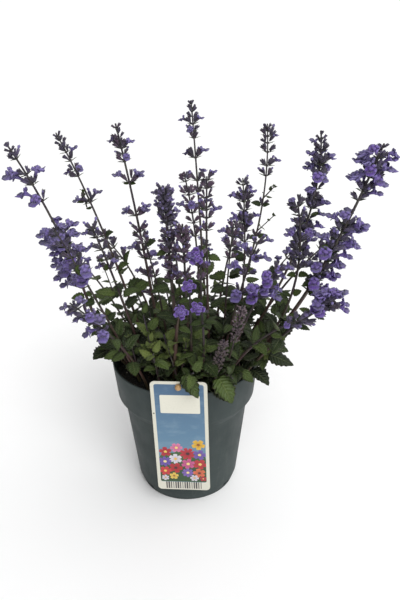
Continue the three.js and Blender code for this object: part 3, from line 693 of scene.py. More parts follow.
def node_group(name, kind, inputs, output):
    """An empty group: what adds its nodes, its inputs, and the socket of its one output."""
    group = bpy.data.node_groups.new(name, kind + "NodeTree")
    for title, socket in inputs.items():
        group.interface.new_socket(title, in_out="INPUT", socket_type="NodeSocket" + socket)
    group.interface.new_socket("Result", in_out="OUTPUT", socket_type="NodeSocket" + output)
    given = group.nodes.new("NodeGroupInput").outputs
    return Nodes(group), given, group.nodes.new("NodeGroupOutput").inputs[0]


def panel_group():
    """A panel with rounded corners."""
    inputs = {**EVERY_FORM, "Half": "Vector", "Corner": "Float", "Tint": "Color"}
    nodes, given, end = node_group("print_panel", "Shader", inputs, "Color")
    offset = nodes.vector("ABSOLUTE", nodes.vector("SUBTRACT", given["Place"], given["Centre"]))
    corner = nodes.add("ShaderNodeCombineXYZ", {"X": given["Corner"], "Y": given["Corner"]}).outputs[0]
    inner = nodes.vector("SUBTRACT", given["Half"], corner)
    beyond = nodes.vector("MAXIMUM", nodes.vector("SUBTRACT", offset, inner), (0, 0, 0))
    outside = nodes.minus(nodes.vector("LENGTH", beyond), given["Corner"])
    nodes.give(end, nodes.mixed(nodes.between(outside, 0.08, -0.08), given["Base"], given["Tint"]))
    return nodes.tree


def blossom_group():
    """A round flower with petals and a heart."""
    inputs = {**EVERY_FORM, "Radius": "Float", "Petals": "Float", "Turn": "Float"}
    inputs.update({"Tint": "Color", "Heart": "Color"})
    nodes, given, end = node_group("print_blossom", "Shader", inputs, "Color")
    offset = nodes.vector("SUBTRACT", given["Place"], given["Centre"])
    parts = nodes.parts(offset)
    angle = nodes.plus(nodes.calc("ARCTAN2", parts["Y"], parts["X"]), given["Turn"])
    swing = nodes.times(angle, nodes.times(given["Petals"], 0.5))
    lobes = nodes.calc("ABSOLUTE", nodes.calc("SINE", swing))
    reach = nodes.times(given["Radius"], nodes.between(lobes, 0.0, 0.7, 0.55, 1.0))
    far = nodes.calc("DIVIDE", nodes.vector("LENGTH", offset), reach)
    shade = nodes.mixed(1.0, given["Tint"], (0.45, 0.4, 0.45, 1), "MULTIPLY")
    petals = nodes.mixed(nodes.between(far, 0.3, 1.0, 0.5, 0.0), given["Tint"], shade)
    flower = nodes.mixed(nodes.between(far, 0.3, 0.24), petals, given["Heart"])
    nodes.give(end, nodes.mixed(nodes.between(far, 1.03, 0.97), given["Base"], flower))
    return nodes.tree


def label_card():
    made = Surface("label_card")
    place, _, depth_here = made.own_uv()
    panel, blossom = panel_group(), blossom_group()

    def printed(group, under, x, depth, **values):
        """One form of a print group laid over a colour."""
        inputs = {"Base": under, "Place": place, "Centre": (x, depth, 0), **values}
        return made.add("ShaderNodeGroup", inputs, node_tree=group).outputs[0]

    def laid(under, x, depth, half_width, half_height, corner, tint):
        half = (half_width, half_height, 0)
        return printed(panel, under, x, depth, Half=half, Corner=corner, Tint=linear(tint))

    depth_share = made.between(depth_here, -110, 0)
    sky = made.ramp(depth_share, (0.0, (112, 142, 160)), (0.45, (86, 120, 146)), (1.0, (62, 92, 122)))
    cloud = made.grain(1.0, 4, place=made.vector("MULTIPLY", place, (0.06, 0.12, 1)))
    sky = made.mixed(made.between(cloud, 0.5, 0.75, 0.0, 0.2), sky, (160, 184, 196))
    picture = laid(sky, *MEADOW)
    for x, depth in LEAF_TUFTS:
        picture = laid(picture, x, depth, *TUFT)
    for x, depth, radius, petals, turn, tint, heart in BLOSSOMS:
        form = {"Radius": radius, "Petals": petals, "Turn": turn}
        form.update({"Tint": linear(tint), "Heart": linear(heart)})
        picture = printed(blossom, picture, x, depth, **form)
    made.base = laid(linear(CARD_CREAM), *PICTURE_FRAME, picture)
    for form in PANELS:
        made.base = laid(made.base, *form)
    bar_depth, bar_half_height, bar_corner = BAR_PLACE
    for bar in range(BARS):
        x = (bar - (BARS - 1) / 2) * BAR_STEP
        half_width = BAR_WIDTHS[bar * 3 % len(BAR_WIDTHS)]
        made.base = laid(made.base, x, bar_depth, half_width, bar_half_height, bar_corner, BAR_INK)
    wear = made.grain(1.0, 4, place=made.vector("MULTIPLY", place, (0.5, 0.5, 1)))
    made.lay(made.between(wear, 0.55, 0.8, 0.0, 0.12), (120, 112, 96))
    return made.finish((wear, 0.3, 0.42), (wear, 0.15, 0.15))


# ---- Meshes ----
def show(name, data, *materials):
    piece = bpy.data.objects.new(name, data)
    bpy.context.scene.collection.objects.link(piece)
    for material in materials:
        data.materials.append(material)
    return piece


def evaluated(piece):
    """What a piece comes to, as a new plain mesh."""
    bpy.context.view_layer.update()
    graph = bpy.context.evaluated_depsgraph_get()
    here = piece.evaluated_get(graph)
    return bpy.data.meshes.new_from_object(here, preserve_all_data_layers=True, depsgraph=graph)


def settle(piece):
    """Turns a piece's modifiers into its plain mesh."""
    before = piece.data
    mesh = evaluated(piece)
    piece.modifiers.clear()
    piece.data = mesh
    mesh.name = piece.name
    bpy.data.meshes.remove(before)
    return mesh


def smooth(mesh, degrees):
    mesh.polygons.foreach_set("use_smooth", [True] * len(mesh.polygons))
    mesh.set_sharp_from_angle(angle=radians(degrees))


def lathe(profile, segments, lift=None):
    """Points and faces of a profile of (radius, height) turned about the Z axis. lift says how
    much a point is raised, given its place."""
    points = []
    rings = []
    for radius, height in profile:
        count = segments if radius else 1
        rings.append([len(points) + step % count for step in range(segments + 1)])
        for step in range(count):
            angle = 2 * pi * step / segments
            points.append(Vector((radius * cos(angle), radius * sin(angle), height)))
    if lift:
        for point in points:
            point.z += lift(point)
    faces = []
    for low, high in zip(rings, rings[1:]):
        for step in range(segments):
            corners = (low[step], low[step + 1], high[step + 1], high[step])
            faces.append(tuple(dict.fromkeys(corners)))
    return points, faces


def joined(parts):
    """Several pairs of points and faces as one."""
    points = []
    faces = []
    for more_points, more_faces in parts:
        faces += [tuple(len(points) + i for i in face) for face in more_faces]
        points += more_points
    return points, faces


def mesh_of(name, points, faces):
    mesh = bpy.data.meshes.new(name)
    mesh.from_pydata([point * MM for point in points], [], faces)
    mesh.validate()
    return mesh


def rounded(profile, sharp, size):
    """The profile with each of its sharp points replaced by two."""
    result = []
    for i, point in enumerate(profile):
        if i not in sharp:
            result.append(point)
            continue
        here = Vector(point)
        for other in (profile[i - 1], profile[i + 1]):
            towards = Vector(other) - here
            moved = here + towards.normalized() * min(size, towards.length / 3)
            result.append((moved.x, moved.y))
    return result


def soil_height(radius):
    return SOIL_EDGE + SOIL_CROWN * (1 - (radius / SOIL_RADIUS) ** 2)


shoulder_top = POT_HEIGHT - COLLAR_HEIGHT
shoulder_foot = shoulder_top - SHOULDER_HEIGHT


def make_pot():
    profile = [
        (0, 0),
        (PAD_RADIUS, 0),
        (PAD_RADIUS + GROOVE_SLOPE, GROOVE_DEPTH),
        (RING_RADIUS - GROOVE_SLOPE, GROOVE_DEPTH),
        (RING_RADIUS, 0),
        (BASE_RADIUS, 0),
        (BODY_FOOT_RADIUS, BEVEL_HEIGHT),
        (BODY_TOP_RADIUS, shoulder_foot),
        (COLLAR_FOOT_RADIUS, shoulder_top),
        (RIM_RADIUS, POT_HEIGHT),
        (RIM_RADIUS - WALL, POT_HEIGHT),
        (COLLAR_FOOT_RADIUS - WALL, shoulder_top + INNER_RISE),
        (BODY_TOP_RADIUS - WALL, shoulder_foot + INNER_RISE),
        (BODY_FOOT_RADIUS - WALL, BEVEL_HEIGHT + INNER_RISE),
        (BASE_RADIUS - WALL, FLOOR),
        (0, FLOOR),
    ]
    base = profile.index((BASE_RADIUS, 0))
    rim = profile.index((RIM_RADIUS - WALL, POT_HEIGHT))
    body = lathe(rounded(profile, range(base, rim + 1), ROUNDING), POT_SEGMENTS)
    pot = show("pot_body", mesh_of("pot_body", *body))
    box_faces = [(0, 1, 3, 2), (4, 6, 7, 5), (0, 4, 5, 1), (2, 3, 7, 6), (0, 2, 6, 4), (1, 5, 7, 3)]
    half = DRAIN_SIZE / 2
    middle = Vector((0, -BODY_FOOT_RADIUS, DRAIN_FOOT + half.z))
    boxes = []
    for angle in DRAIN_ANGLES:
        turn = Matrix.Rotation(radians(angle), 3, "Z")
        corners = [turn @ (middle + Vector(corner) * half) for corner in product((-1, 1), repeat=3)]
        boxes.append((corners, box_faces))
    cutter = show("drain_cutter", mesh_of("drain_cutter", *joined(boxes)))
    cut = pot.modifiers.new("drains", "BOOLEAN")
    cut.object = cutter
    cut.operation = "DIFFERENCE"
    mesh = settle(pot)
    bpy.data.objects.remove(cutter)
    smooth(mesh, degrees=28)
    mesh.materials.append(pot_plastic())
    return pot


def lumps(point):
    """How much the soil's surface stands up at a place."""
    radius = hypot(point.x, point.y)
    if point.z < soil_height(radius) - 0.5:
        return 0
    ground = Vector((point.x, point.y, 0))
    coarse = noise.noise(ground * COARSE_LUMPS)
    fine = noise.noise(ground * FINE_LUMPS + FINE_OFFSET)
    calm = min(1, (SOIL_RADIUS - radius) / SOIL_CALM)
    return SOIL_LUMPS * calm * (coarse + 0.6 * fine) - SOIL_SINK


def make_soil():
    inset = WALL + FIT_GAP
    rise = INNER_RISE + FIT_GAP
    profile = [
        (0, FLOOR + FIT_GAP),
        (BASE_RADIUS - inset, FLOOR + FIT_GAP),
        (BODY_FOOT_RADIUS - inset, BEVEL_HEIGHT + rise),
        (BODY_TOP_RADIUS - inset, shoulder_foot + rise),
        (COLLAR_FOOT_RADIUS - inset, shoulder_top + rise),
    ]
    for ring in range(SOIL_RINGS + 1):
        radius = SOIL_RADIUS * (1 - ring / SOIL_RINGS)
        profile.append((radius, soil_height(radius)))
    surface = lathe(profile, SOIL_SEGMENTS, lumps)
    soil = show("soil_body", mesh_of("soil_body", *surface), potting_soil())
    smooth(soil.data, degrees=60)
    return soil


label_lean = atan((RIM_RADIUS - COLLAR_FOOT_RADIUS) / COLLAR_HEIGHT)
label_out = LABEL_ABOVE_RIM * tan(label_lean) + SEAT_GAP / cos(label_lean)
label_place = (
    Matrix.Rotation(-radians(LABEL_TURN), 4, "Z")
    @ Matrix.Translation((LABEL_SHIFT, -RIM_RADIUS - label_out, POT_HEIGHT + LABEL_ABOVE_RIM))
    @ Matrix.Rotation(label_lean, 4, "X")
    @ Matrix.Rotation(pi / 2, 4, "X")
    @ Matrix.Translation((0, -LABEL_HOLE_DROP, 0))
    @ Matrix.Rotation(radians(LABEL_TILT), 4, "Z")
    @ Matrix.Translation((0, LABEL_HOLE_DROP, 0))
)
into_label = label_place.inverted()


def arc(x, y, radius, start, sweep, steps):
    """Points along part of a circle about (x, y), with its angles in degrees."""
    angles = [radians(start + sweep * step / steps) for step in range(steps + 1)]
    return [(x + radius * cos(angle), y + radius * sin(angle)) for angle in angles]


def make_label():
    """The card lies in its own XY plane, with Z out of its front, before it is placed."""
    card = bpy.data.curves.new("label_outline", "CURVE")
    card.dimensions = "2D"
    card.fill_mode = "BOTH"
    card.extrude = LABEL_THICKNESS / 2
    side = LABEL_WIDTH / 2 - LABEL_CORNER
    top = -LABEL_CORNER
    low = LABEL_CORNER - LABEL_HEIGHT
    outline = []
    for corner, (x, y) in enumerate([(side, top), (-side, top), (-side, low), (side, low)]):
        outline += arc(x, y, LABEL_CORNER, 90 * corner, 90, LABEL_CORNER_STEPS)
    hole = arc(0, -LABEL_HOLE_DROP, LABEL_HOLE_RADIUS, 0, 360, LABEL_HOLE_STEPS)[:-1]
    for loop in (outline, hole):
        spline = card.splines.new("POLY")
        spline.points.add(len(loop) - 1)
        for spline_point, (x, y) in zip(spline.points, loop):
            spline_point.co = (x, y, 0, 1)
        spline.use_cyclic_u = True
    drawn = show("label_outline", card)
    mesh = evaluated(drawn)
    bpy.data.objects.remove(drawn)
    bpy.data.curves.remove(card)
    uv = mesh.uv_layers.new(name="shape")
    for face in mesh.polygons:
        for loop in face.loop_indices:
            point = mesh.vertices[mesh.loops[loop].vertex_index].co
            uv.data[loop].uv = (point.x, point.y) if face.normal.z > 0.5 else BLANK
    lift = Matrix.Translation((0, 0, LABEL_THICKNESS / 2))
    mesh.transform(Matrix.Scale(MM, 4) @ label_place @ lift)
    mesh.name = "label_card"
    return show("label_card", mesh, label_card())


def make_peg():
    angles = [pi * ring / PEG_HEAD_RINGS for ring in range(1, PEG_HEAD_RINGS)]
    ball = [(PEG_HEAD_RADIUS * sin(angle), -PEG_HEAD_RADIUS * cos(angle)) for angle in angles]
    head, head_faces = lathe([(0, -PEG_HEAD_RADIUS), *ball, (0, PEG_HEAD_RADIUS)], segments=28)
    profile = [
        (0, -PEG_LENGTH),
        (PEG_END_RADIUS, -PEG_LENGTH),
        (PEG_RADIUS, PEG_POINT - PEG_LENGTH),
        (PEG_RADIUS, 0),
        (0, 0),
    ]
    shank, shank_faces = lathe(profile, segments=16)
    centre = label_place @ Vector((0, PEG_RAISE - LABEL_HOLE_DROP, PEG_HEAD_OUT))
    tilt = Matrix.Rotation(-radians(PEG_SLOPE), 3, "X") @ Matrix.Rotation(pi / 2, 3, "X")
    head = [centre + point for point in head]
    shank = [centre + tilt @ point for point in shank]
    whole = joined([(head, head_faces), (shank, shank_faces)])
    peg = show("peg_pin", mesh_of("peg_pin", *whole), peg_plastic())
    smooth(peg.data, degrees=40)
    return peg


# ---- Small shapes of the plant: Y runs ahead and Z is the upper side ----
LOBE_HALF = 0.14  # half the thickness of a flower's lobe
LEAF_ROWS = 12
LEAF_STALK = 0.16  # length of a leaf's stalk, as a share of the leaf
LEAF_PUCKER = 0.02
UNDER = 2  # what the coordinate across gains on an underside


class Shape:
    """Points with their own coordinates, and faces."""

    def __init__(self):
        self.points = []
        self.places = []
        self.faces = []

    def point(self, place, u, v):
        self.points.append(Vector(place))
        self.places.append((u, v))
        return len(self.points) - 1

    def face(self, *corners, shift=0):
        self.faces.append((corners, shift))

    def mesh(self, name):
        mesh = bpy.data.meshes.new(name)
        mesh.from_pydata(self.points, [], [corners for corners, _ in self.faces])
        uv = mesh.uv_layers.new(name="shape")
        for face, (corners, shift) in zip(mesh.polygons, self.faces):
            for loop, corner in zip(face.loop_indices, corners):
                u, v = self.places[corner]
                uv.data[loop].uv = (u + shift, v)
        mesh.polygons.foreach_set("use_smooth", [True] * len(mesh.polygons))
        return mesh

    def tube(self, centres, radii, sides, v_low, v_high):
        """A closed tube along centres, which run mostly ahead."""
        centres = [Vector(centre) for centre in centres]
        rings = []
        last = len(centres) - 1
        for i, (centre, radius) in enumerate(zip(centres, radii)):
            ahead = centres[min(i + 1, last)] - centres[max(i - 1, 0)]
            side = ahead.cross(UP).normalized()
            top = side.cross(ahead).normalized()
            ring = []
            for step in range(sides):
                angle = 2 * pi * step / sides
                place = centre + side * radius * sin(angle) + top * radius * cos(angle)
                ring.append(self.point(place, step / sides, v_low + (v_high - v_low) * i / last))
            rings.append(ring)
        for low, high in zip(rings, rings[1:]):
            for step in range(sides):
                after = (step + 1) % sides
                self.face(low[step], high[step], high[after], low[after])
        self.face(*rings[0])
        self.face(*reversed(rings[-1]))

    def lobe(self, root, ahead, side, length, width, scoop, corners, ruffle=0.0):
        """A thin rounded lobe: a rim of points, with a middle point on each face."""
        root, ahead, side = Vector(root), Vector(ahead).normalized(), Vector(side).normalized()
        top = side.cross(ahead).normalized()
        rim = []
        for corner in range(corners):
            angle = 2 * pi * corner / corners
            forward = 0.5 - 0.5 * cos(angle)
            spread = sin(angle) * (0.7 + 0.5 * forward) / 2
            wave = 1 + ruffle * (1 if corner % 2 else -1) * forward
            place = root + ahead * length * forward * wave + side * width * spread * wave
            place += top * scoop * abs(spread) * 1.6
            rim.append(self.point(place, 0.5 + spread, 0.6 + 0.4 * forward))
        middle = root + ahead * length * 0.55 - top * scoop * 0.45
        upper = self.point(middle + top * LOBE_HALF, 0.5, 0.8)
        lower = self.point(middle - top * LOBE_HALF, 0.5, 0.8)
        for corner in range(corners):
            after = (corner + 1) % corners
            self.face(rim[after], rim[corner], upper)
            self.face(rim[corner], rim[after], lower)


def leaf_shape(width, fold, rise, bend, curl):
    """A crenate, puckered leaf one unit long with its leaf stalk. It starts at rise radians and
    bends down by bend radians along its length."""
    shape = Shape()
    centre = Vector((0, LEAF_STALK * cos(rise), LEAF_STALK * sin(rise)))
    stalk = [(0, 0, 0), centre * 0.5 + Vector((0, 0, 0.01)), centre * 1.1]
    shape.tube(stalk, [0.022, 0.018, 0.018], 3, 0, 0.1)
    step = (1 - LEAF_STALK) / LEAF_ROWS
    rings = []
    for row in range(LEAF_ROWS + 1):
        share = row / LEAF_ROWS
        pitch = rise - bend * share
        if row:
            centre = centre + Vector((0, step * cos(pitch), step * sin(pitch)))
        if row in (0, LEAF_ROWS):
            rings.append([shape.point(centre, 0.5, share)])
            continue
        normal = Vector((0, -sin(pitch), cos(pitch)))
        half = width / 2 * sin(pi * share ** 0.64) ** 0.82
        half *= 1.1 if row % 2 else 0.9
        back = -0.05 * (1 - share) ** 2
        ring = []
        for u in (-1, -0.5, 0, 0.5, 1):
            height = fold * abs(u) - curl * u * u
            height += LEAF_PUCKER * (1 if row % 2 else -1) * (1 - abs(abs(u) - 0.5) * 2)
            place = centre + Vector((half * u, 0, 0)) + normal * height * half * 2
            place.y += back * abs(u)
            ring.append(shape.point(place, 0.5 + u / 2, share))
        ring.append(shape.point(centre - normal * 0.02, 0.5, share))
        rings.append(ring)
    first, *between_ends, last = rings
    for low, high in zip(between_ends, between_ends[1:]):
        for i in range(4):
            shape.face(low[i], low[i + 1], high[i + 1], high[i])
        for i, after in ((5, 0), (4, 5)):
            shape.face(low[i], low[after], high[after], high[i], shift=UNDER)
    low, high = between_ends[0], between_ends[-1]
    for i in range(4):
        shape.face(first[0], low[i + 1], low[i])
        shape.face(high[i], high[i + 1], last[0])
    for i, after in ((5, 0), (4, 5)):
        shape.face(first[0], low[after], low[i], shift=UNDER)
        shape.face(high[i], high[after], last[0], shift=UNDER)
    return shape


def bract_shape(width, bend):
    """A narrow folded bract one unit long."""
    shape = Shape()
    root = shape.point((0, 0, 0), 0.5, 0)
    tip = shape.point((0, 1, -bend), 0.5, 1)
    rings = []
    for share, spread in ((0.3, 1.0), (0.65, 0.75)):
        drop = -bend * share * share
        half = width / 2 * spread
        corners = [(-half, 0.06, 0), (0, 0, 0.5), (half, 0.06, 1), (0, -0.03, 0.5)]
        rings.append([shape.point((x, share, drop + lift), u, share) for x, lift, u in corners])
    low, high = rings
    for i in range(4):
        after = (i + 1) % 4
        shift = UNDER if i > 1 else 0
        shape.face(root, low[after], low[i], shift=shift)
        shape.face(low[i], low[after], high[after], high[i], shift=shift)
        shape.face(high[i], high[after], tip, shift=shift)
    return shape


def calyx_shape(belly, mouth, length, tooth):
    """A ribbed tube with five teeth round its mouth, in millimetres."""
    shape = Shape()
    sides = 5

    def ring(ahead, radius, v, drop=0.0, turn=0.0):
        made = []
        for step in range(sides):
            angle = 2 * pi * (step + turn) / sides
            place = (radius * sin(angle), ahead, radius * cos(angle) - drop)
            made.append(shape.point(place, (step + turn) / sides, v))
        return made

    base = ring(0, 0.55, 0)
    waist = ring(length * 0.5, belly, 0.4)
    edge = ring(length, mouth, 0.75, 0.25)
    inner = ring(length - 0.25, mouth * 0.72, 0.75, 0.25)
    tips = ring(length + tooth, mouth * 1.05, 1.0, 0.3, 0.5)
    for step in range(sides):
        after = (step + 1) % sides
        shape.face(base[step], waist[step], waist[after], base[after])
        shape.face(waist[step], edge[step], edge[after], waist[after])
        shape.face(edge[step], tips[step], edge[after])
        shape.face(inner[step], inner[after], tips[step])
        shape.face(edge[step], inner[step], tips[step])
        shape.face(inner[after], edge[after], tips[step])
    shape.face(*base)
    shape.face(*reversed(inner))
    return shape


def corolla_shape(droop, gape, lip):
    """An open two-lipped flower, in millimetres from the foot of its calyx: a slender tube that
    widens and bends over, two upper lobes, two side lobes and a broad scooped lower lobe."""
    shape = Shape()
    centres = [(0, 3.6, 0), (0, 6.4, 0), (0, 8.6, -droop * 0.3), (0, 10.2, -droop * 0.8)]
    shape.tube(centres, [0.7, 0.95, 1.6, 2.4], 6, 0.0, 0.55)
    throat = Vector((0, 10.0, -droop * 0.8))
    low = throat + Vector((0, -0.6, -1.2))
    shape.lobe(low, (0, 0.75, -0.75), (1, 0, 0), lip, lip * 1.4, 2.3, 12, 0.08)
    for side in (-1, 1):
        edge = throat + Vector((0.9 * side, -0.3, -0.2))
        shape.lobe(edge, (side, 0.4, -0.3 * gape), (0.2 * side, 0.1, 1), 3.7, 5.4, 1.4, 8)
        crest = throat + Vector((0.4 * side, -0.4, 0.7))
        shape.lobe(crest, (0.55 * side, 0.6, 0.8 * gape), (1, 0, -0.5 * side), 4.1, 5.4, 1.6, 8)
    return shape


def bud_shape(length, width):
    """A closed flower that shows beyond its calyx, in millimetres from the calyx's foot."""
    shape = Shape()
    centres = [(0, 5.5, 0), (0, 7.2, 0), (0, 7.2 + length * 0.6, -0.2), (0, 7.2 + length, -0.5)]
    shape.tube(centres, [0.7, 0.8, width, 0.3], 5, 0.2, 0.9)
    return shape


def crumb_shape(stretch, seed):
    """An uneven lump about one unit across."""
    shape = Shape()
    rough = random.Random(seed)
    top = shape.point((0, 0, 0.4 * rough.uniform(0.7, 1.1)), 0, 0)
    bottom = shape.point((0, 0, -0.4), 0, 1)
    ring = []
    for step in range(6):
        angle = pi * step / 3
        radius = 0.5 * rough.uniform(0.65, 1.15)
        place = (radius * cos(angle), radius * stretch * sin(angle), rough.uniform(-0.15, 0.15))
        ring.append(shape.point(place, step / 6, 0.5))
    for step in range(6):
        after = (step + 1) % 6
        shape.face(ring[step], ring[after], top)
        shape.face(ring[after], ring[step], bottom)
    return shape


CALYX_SHAPES = (calyx_shape, [(1.45, 1.7, 5.6, 1.6), (1.25, 1.5, 6.2, 1.4)])
SHAPES = {  # what makes each kind of copy, and the settings of its variants
    "leaf": (
        leaf_shape,
        [(0.58, 0.10, 0.30, 0.5, 0.05), (0.62, 0.22, 0.35, 0.8, 0.10), (0.52, 0.05, 0.25, 0.35, 0.12)],
    ),
    "bract": (bract_shape, [(0.34, 0.1), (0.28, 0.25)]),
    "calyx": CALYX_SHAPES,
    "spent_calyx": CALYX_SHAPES,
    "corolla": (corolla_shape, [(1.2, 1.0, 5.8), (2.4, 0.8, 5.4), (0.6, 1.2, 6.2)]),
    "bud": (bud_shape, [(2.0, 1.3), (3.4, 1.5)]),
    "crumb": (crumb_shape, [(1, 1), (0.5, 2), (1.8, 3)]),
}


# ---- Growing ----
STEM_STEPS = 36
TIP_WIDTH = 0.6
STALK_THICKNESS = 1.18  # how much wider the stalks are made than noted
FULL_REACH = 11  # a whorl of this reach also has bunches behind and in front
DEPTH_REACH = 0.75  # reach of those bunches, as a share of the whorl's
OPEN_STANCE = (0.6, 0.6, 1.15, 0.8)  # swing, least and most lift in radians, smallest calyx
SHUT_STANCE = (1.1, 0.55, 1.4, 0)
FACING = 0.9  # how far the flowers that face the front point there
FRONT_FOOT = Vector((0, 5, 0))  # where such a flower of a whorl starts
FRONT_SIZE = 0.9
HEAD_FLOWERS = 5
HEAD_SIZE = 0.6
TIP_GAPS = (4.0, 2.5)  # from the tip to the first pair of calyces, from the last to the whorl
FRONT_VIOLET = 0.22  # how much more violet the flowers that face the front are
TOP_BLOOM = 0.68  # size of the flowers at a stem's tip, as a share of those farther down
FULL_BLOOM_DROP = 36  # how far below the tip they reach their full size
LEAFY_SHARE = 0.55  # how much of a stem below its whorls has large leaves
# Pairs of leaves: (distance between them, longest leaf, share by which the last is shorter, tone
# at the start, tone at the end).
LOWER_LEAVES = (13, 29, 0.4, 0.3, 0.5)
UPPER_LEAVES = (24, 17, 0.35, 0.45, 0.4)
SHOOT_LEAVES = (10, 21, 0.4, 0.4, 0.8)
FILLER_LEAVES = (14, 29, 0.45, 0.35, 0.65)
LEAF_LIFTS = (0, 0.35, 0.7, 1.05)  # tried in turn until a leaf is clear, in radians
LEAF_CHECKS = (0.35, 0.6, 0.8, 1.0)  # where along a leaf it is tried
MOUND_TOP = 178  # the leaves stand thinner above this height
MOUND_SHARE = 0.92  # of the leaves that grow below it
UPPER_SHARE = 0.62  # of those above it
PAINTED_SHADE_FOOT = 112  # painted shade: leaves are made darkest at this height and below
PAINTED_SHADE_DEPTH = 55
HIGHLIGHT_PLACE = Vector((-8, -58, 168))  # painted highlight: the leaves are made paler round this place at the front
HIGHLIGHT_REACH = 38
HIGHLIGHT_TONE = 0.25
POT_CLEARANCE = (61.5, 70, POT_HEIGHT + 1.5)  # radii and height that leaves keep away from
LABEL_CLEARANCE = (LABEL_WIDTH / 2 + 1, 1, 2, 2.5)  # to its side, above, behind and before it
FILLER_SHOOTS = 34  # short leafy shoots that fill the mound
FILLER_HEIGHTS = (18, 62)
FILLER_FOOT = 120  # height that those are counted from
FILLER_RADIUS = 56
FILLER_FRONT = -30  # none starts nearer the front than this
FILLER_TURN = 2.4  # radians from one to the next
FILLER_LEAN = 0.006  # outward, for each millimetre of height and from the middle
CRUMBS = 520
CRUMB_RADIUS = 62
CRUMB_TURN = 2.39996  # radians
PALE_CRUMBS = 0.02  # share of the crumbs

copies = {kind: [] for kind in SHAPES}
stalk_lines = []  # each is a list of (place, half diagonal, tone)


def vary(value, spread):
    """A tone near a value, kept between 0 and 1."""
    return min(1, max(0, value + pick(-spread, spread)))


def put(kind, place, ahead, up, size, tone):
    """Notes one copy of a shape. Its Y axis points ahead, and its Z axis as far up as it can."""
    ahead = ahead.normalized()
    side = ahead.cross(up)
    if side.length < 1e-3:
        side = ahead.cross(Vector((1, 0, 0)))
    side.normalize()
    turn = Matrix((side, ahead, side.cross(ahead))).transposed().to_euler()
    variant = chance.randrange(len(SHAPES[kind][1]))
    copies[kind].append((place * MM, turn, size * MM, variant, tone))


def path_of(foot, middle, tip, steps=STEM_STEPS, sway=0):
    """Points along a stem, each with how far along it is."""
    start = Vector((*foot, soil_height(hypot(*foot)) + SEAT_GAP))
    middle, tip = Vector(middle), Vector(tip)
    pull = middle * 2 - (start + tip) / 2
    low = start.lerp(pull, 2 / 3) - Vector((sway, 0, 0))
    high = tip.lerp(pull, 2 / 3) + Vector((sway, 0, 0))
    points = []
    length = 0
    for step in range(steps + 1):
        t = step / steps
        s = 1 - t
        here = start * s ** 3 + low * 3 * t * s ** 2 + high * 3 * t * t * s + tip * t ** 3
        if points:
            length += (here - points[-1][0]).length
        points.append((here, length))
    return points


def along_path(path, distance):
    """The place and the direction at a distance from the foot."""
    for (low, start), (high, end) in zip(path, path[1:]):
        if distance <= end:
            break
    return low.lerp(high, (distance - start) / (end - start)), (high - low).normalized()


def in_gap(place):
    return any(all(low[i] < place[i] < high[i] for i in range(3)) for low, high in WATERING_GAPS)


def in_the_way(place):
    """Whether a leaf can't be at a place: in a gap or a clearing, in the pot or at the label."""
    for x, y, reach, top in CLEARINGS:
        if hypot(place.x - x, place.y - y) < reach and place.z < top:
            return True
    radius = hypot(place.x, place.y)
    inside, outside, top = POT_CLEARANCE
    in_pot = place.z < top and inside < radius < outside or place.z < soil_height(radius)
    aside, above, behind, before = LABEL_CLEARANCE
    front = into_label @ place
    at_label = abs(front.x) < aside and -LABEL_HEIGHT < front.y < above and -behind < front.z < before
    return in_gap(place) or in_pot or at_label


def grow_leaf(node, outward, along, length, tone, rise=None):
    """A leaf on its stalk, raised until it clears the pot, the label and the watering gaps."""
    rise = pick(0.0, 0.75) if rise is None else rise
    for lift in LEAF_LIFTS:
        ahead = outward * cos(rise + lift) + along * sin(rise + lift)
        samples = [node + ahead.normalized() * length * share for share in LEAF_CHECKS]
        samples[-1].z -= length * 0.15
        if any(in_the_way(place) for place in samples):
            continue
        up = (UP + along * 0.4 + Vector((pick(-0.4, 0.4), pick(-0.7, 0.1), 0))).normalized()
        # Painted shade: a leaf's tone is lowered the nearer it grows to the soil.
        shade = min(1, max(0.15, (node.z - PAINTED_SHADE_FOOT) / PAINTED_SHADE_DEPTH))
        # Painted highlight: leaves near this place at the front of the mound are made paler.
        painted_highlight = HIGHLIGHT_TONE * max(0, 1 - (node - HIGHLIGHT_PLACE).length / HIGHLIGHT_REACH)
        put("leaf", node, ahead, up, length, min(1, tone * shade + painted_highlight))
        return


def across(along, angle):
    """A direction square to along, at an angle from the left-right line."""
    left = Vector((1, 0, 0))
    left = (left - along * left.dot(along)).normalized()
    return left * cos(angle) + along.cross(left) * sin(angle)


def grow_leaves(path, start, end, kind, turn):
    """Pairs of leaves, each square to the pair below."""
    spacing, longest, shrink, low_tone, high_tone = kind
    distance = start
    while distance < end:
        node, along = along_path(path, distance)
        share = (distance - start) / max(end - start, 1)
        length = longest * (1 - shrink * share) * pick(0.7, 1.3)
        angle = turn + pick(-0.25, 0.25)
        tone = low_tone + (high_tone - low_tone) * share
        for side in (0, pi):
            outward = across(along, angle + side)
            if chance.random() < (MOUND_SHARE if node.z < MOUND_TOP else UPPER_SHARE):
                grow_leaf(node, outward, along, length * pick(0.85, 1.1), vary(tone, 0.3))
        distance += spacing * pick(0.8, 1.2)
        turn += pi / 2


def grow_floret(foot, ahead, size, opening, look, up=UP):
    """A calyx, with an open flower as large as its stem's flowers are, a bud or nothing in it."""
    put(look["kind"], foot, ahead, UP, size, vary(look["calyx"], 0.17))
    if opening == "open":
        bloom = look["bloom"] * pick(0.88, 1.12)
        violet = look["petal"] - FRONT_VIOLET * ahead.normalized().y
        put("corolla", foot, ahead, up, bloom, vary(violet, 0.25))
    elif opening == "bud":
        put("bud", foot, ahead, UP, size, vary(look["petal"] * 0.6, 0.2))


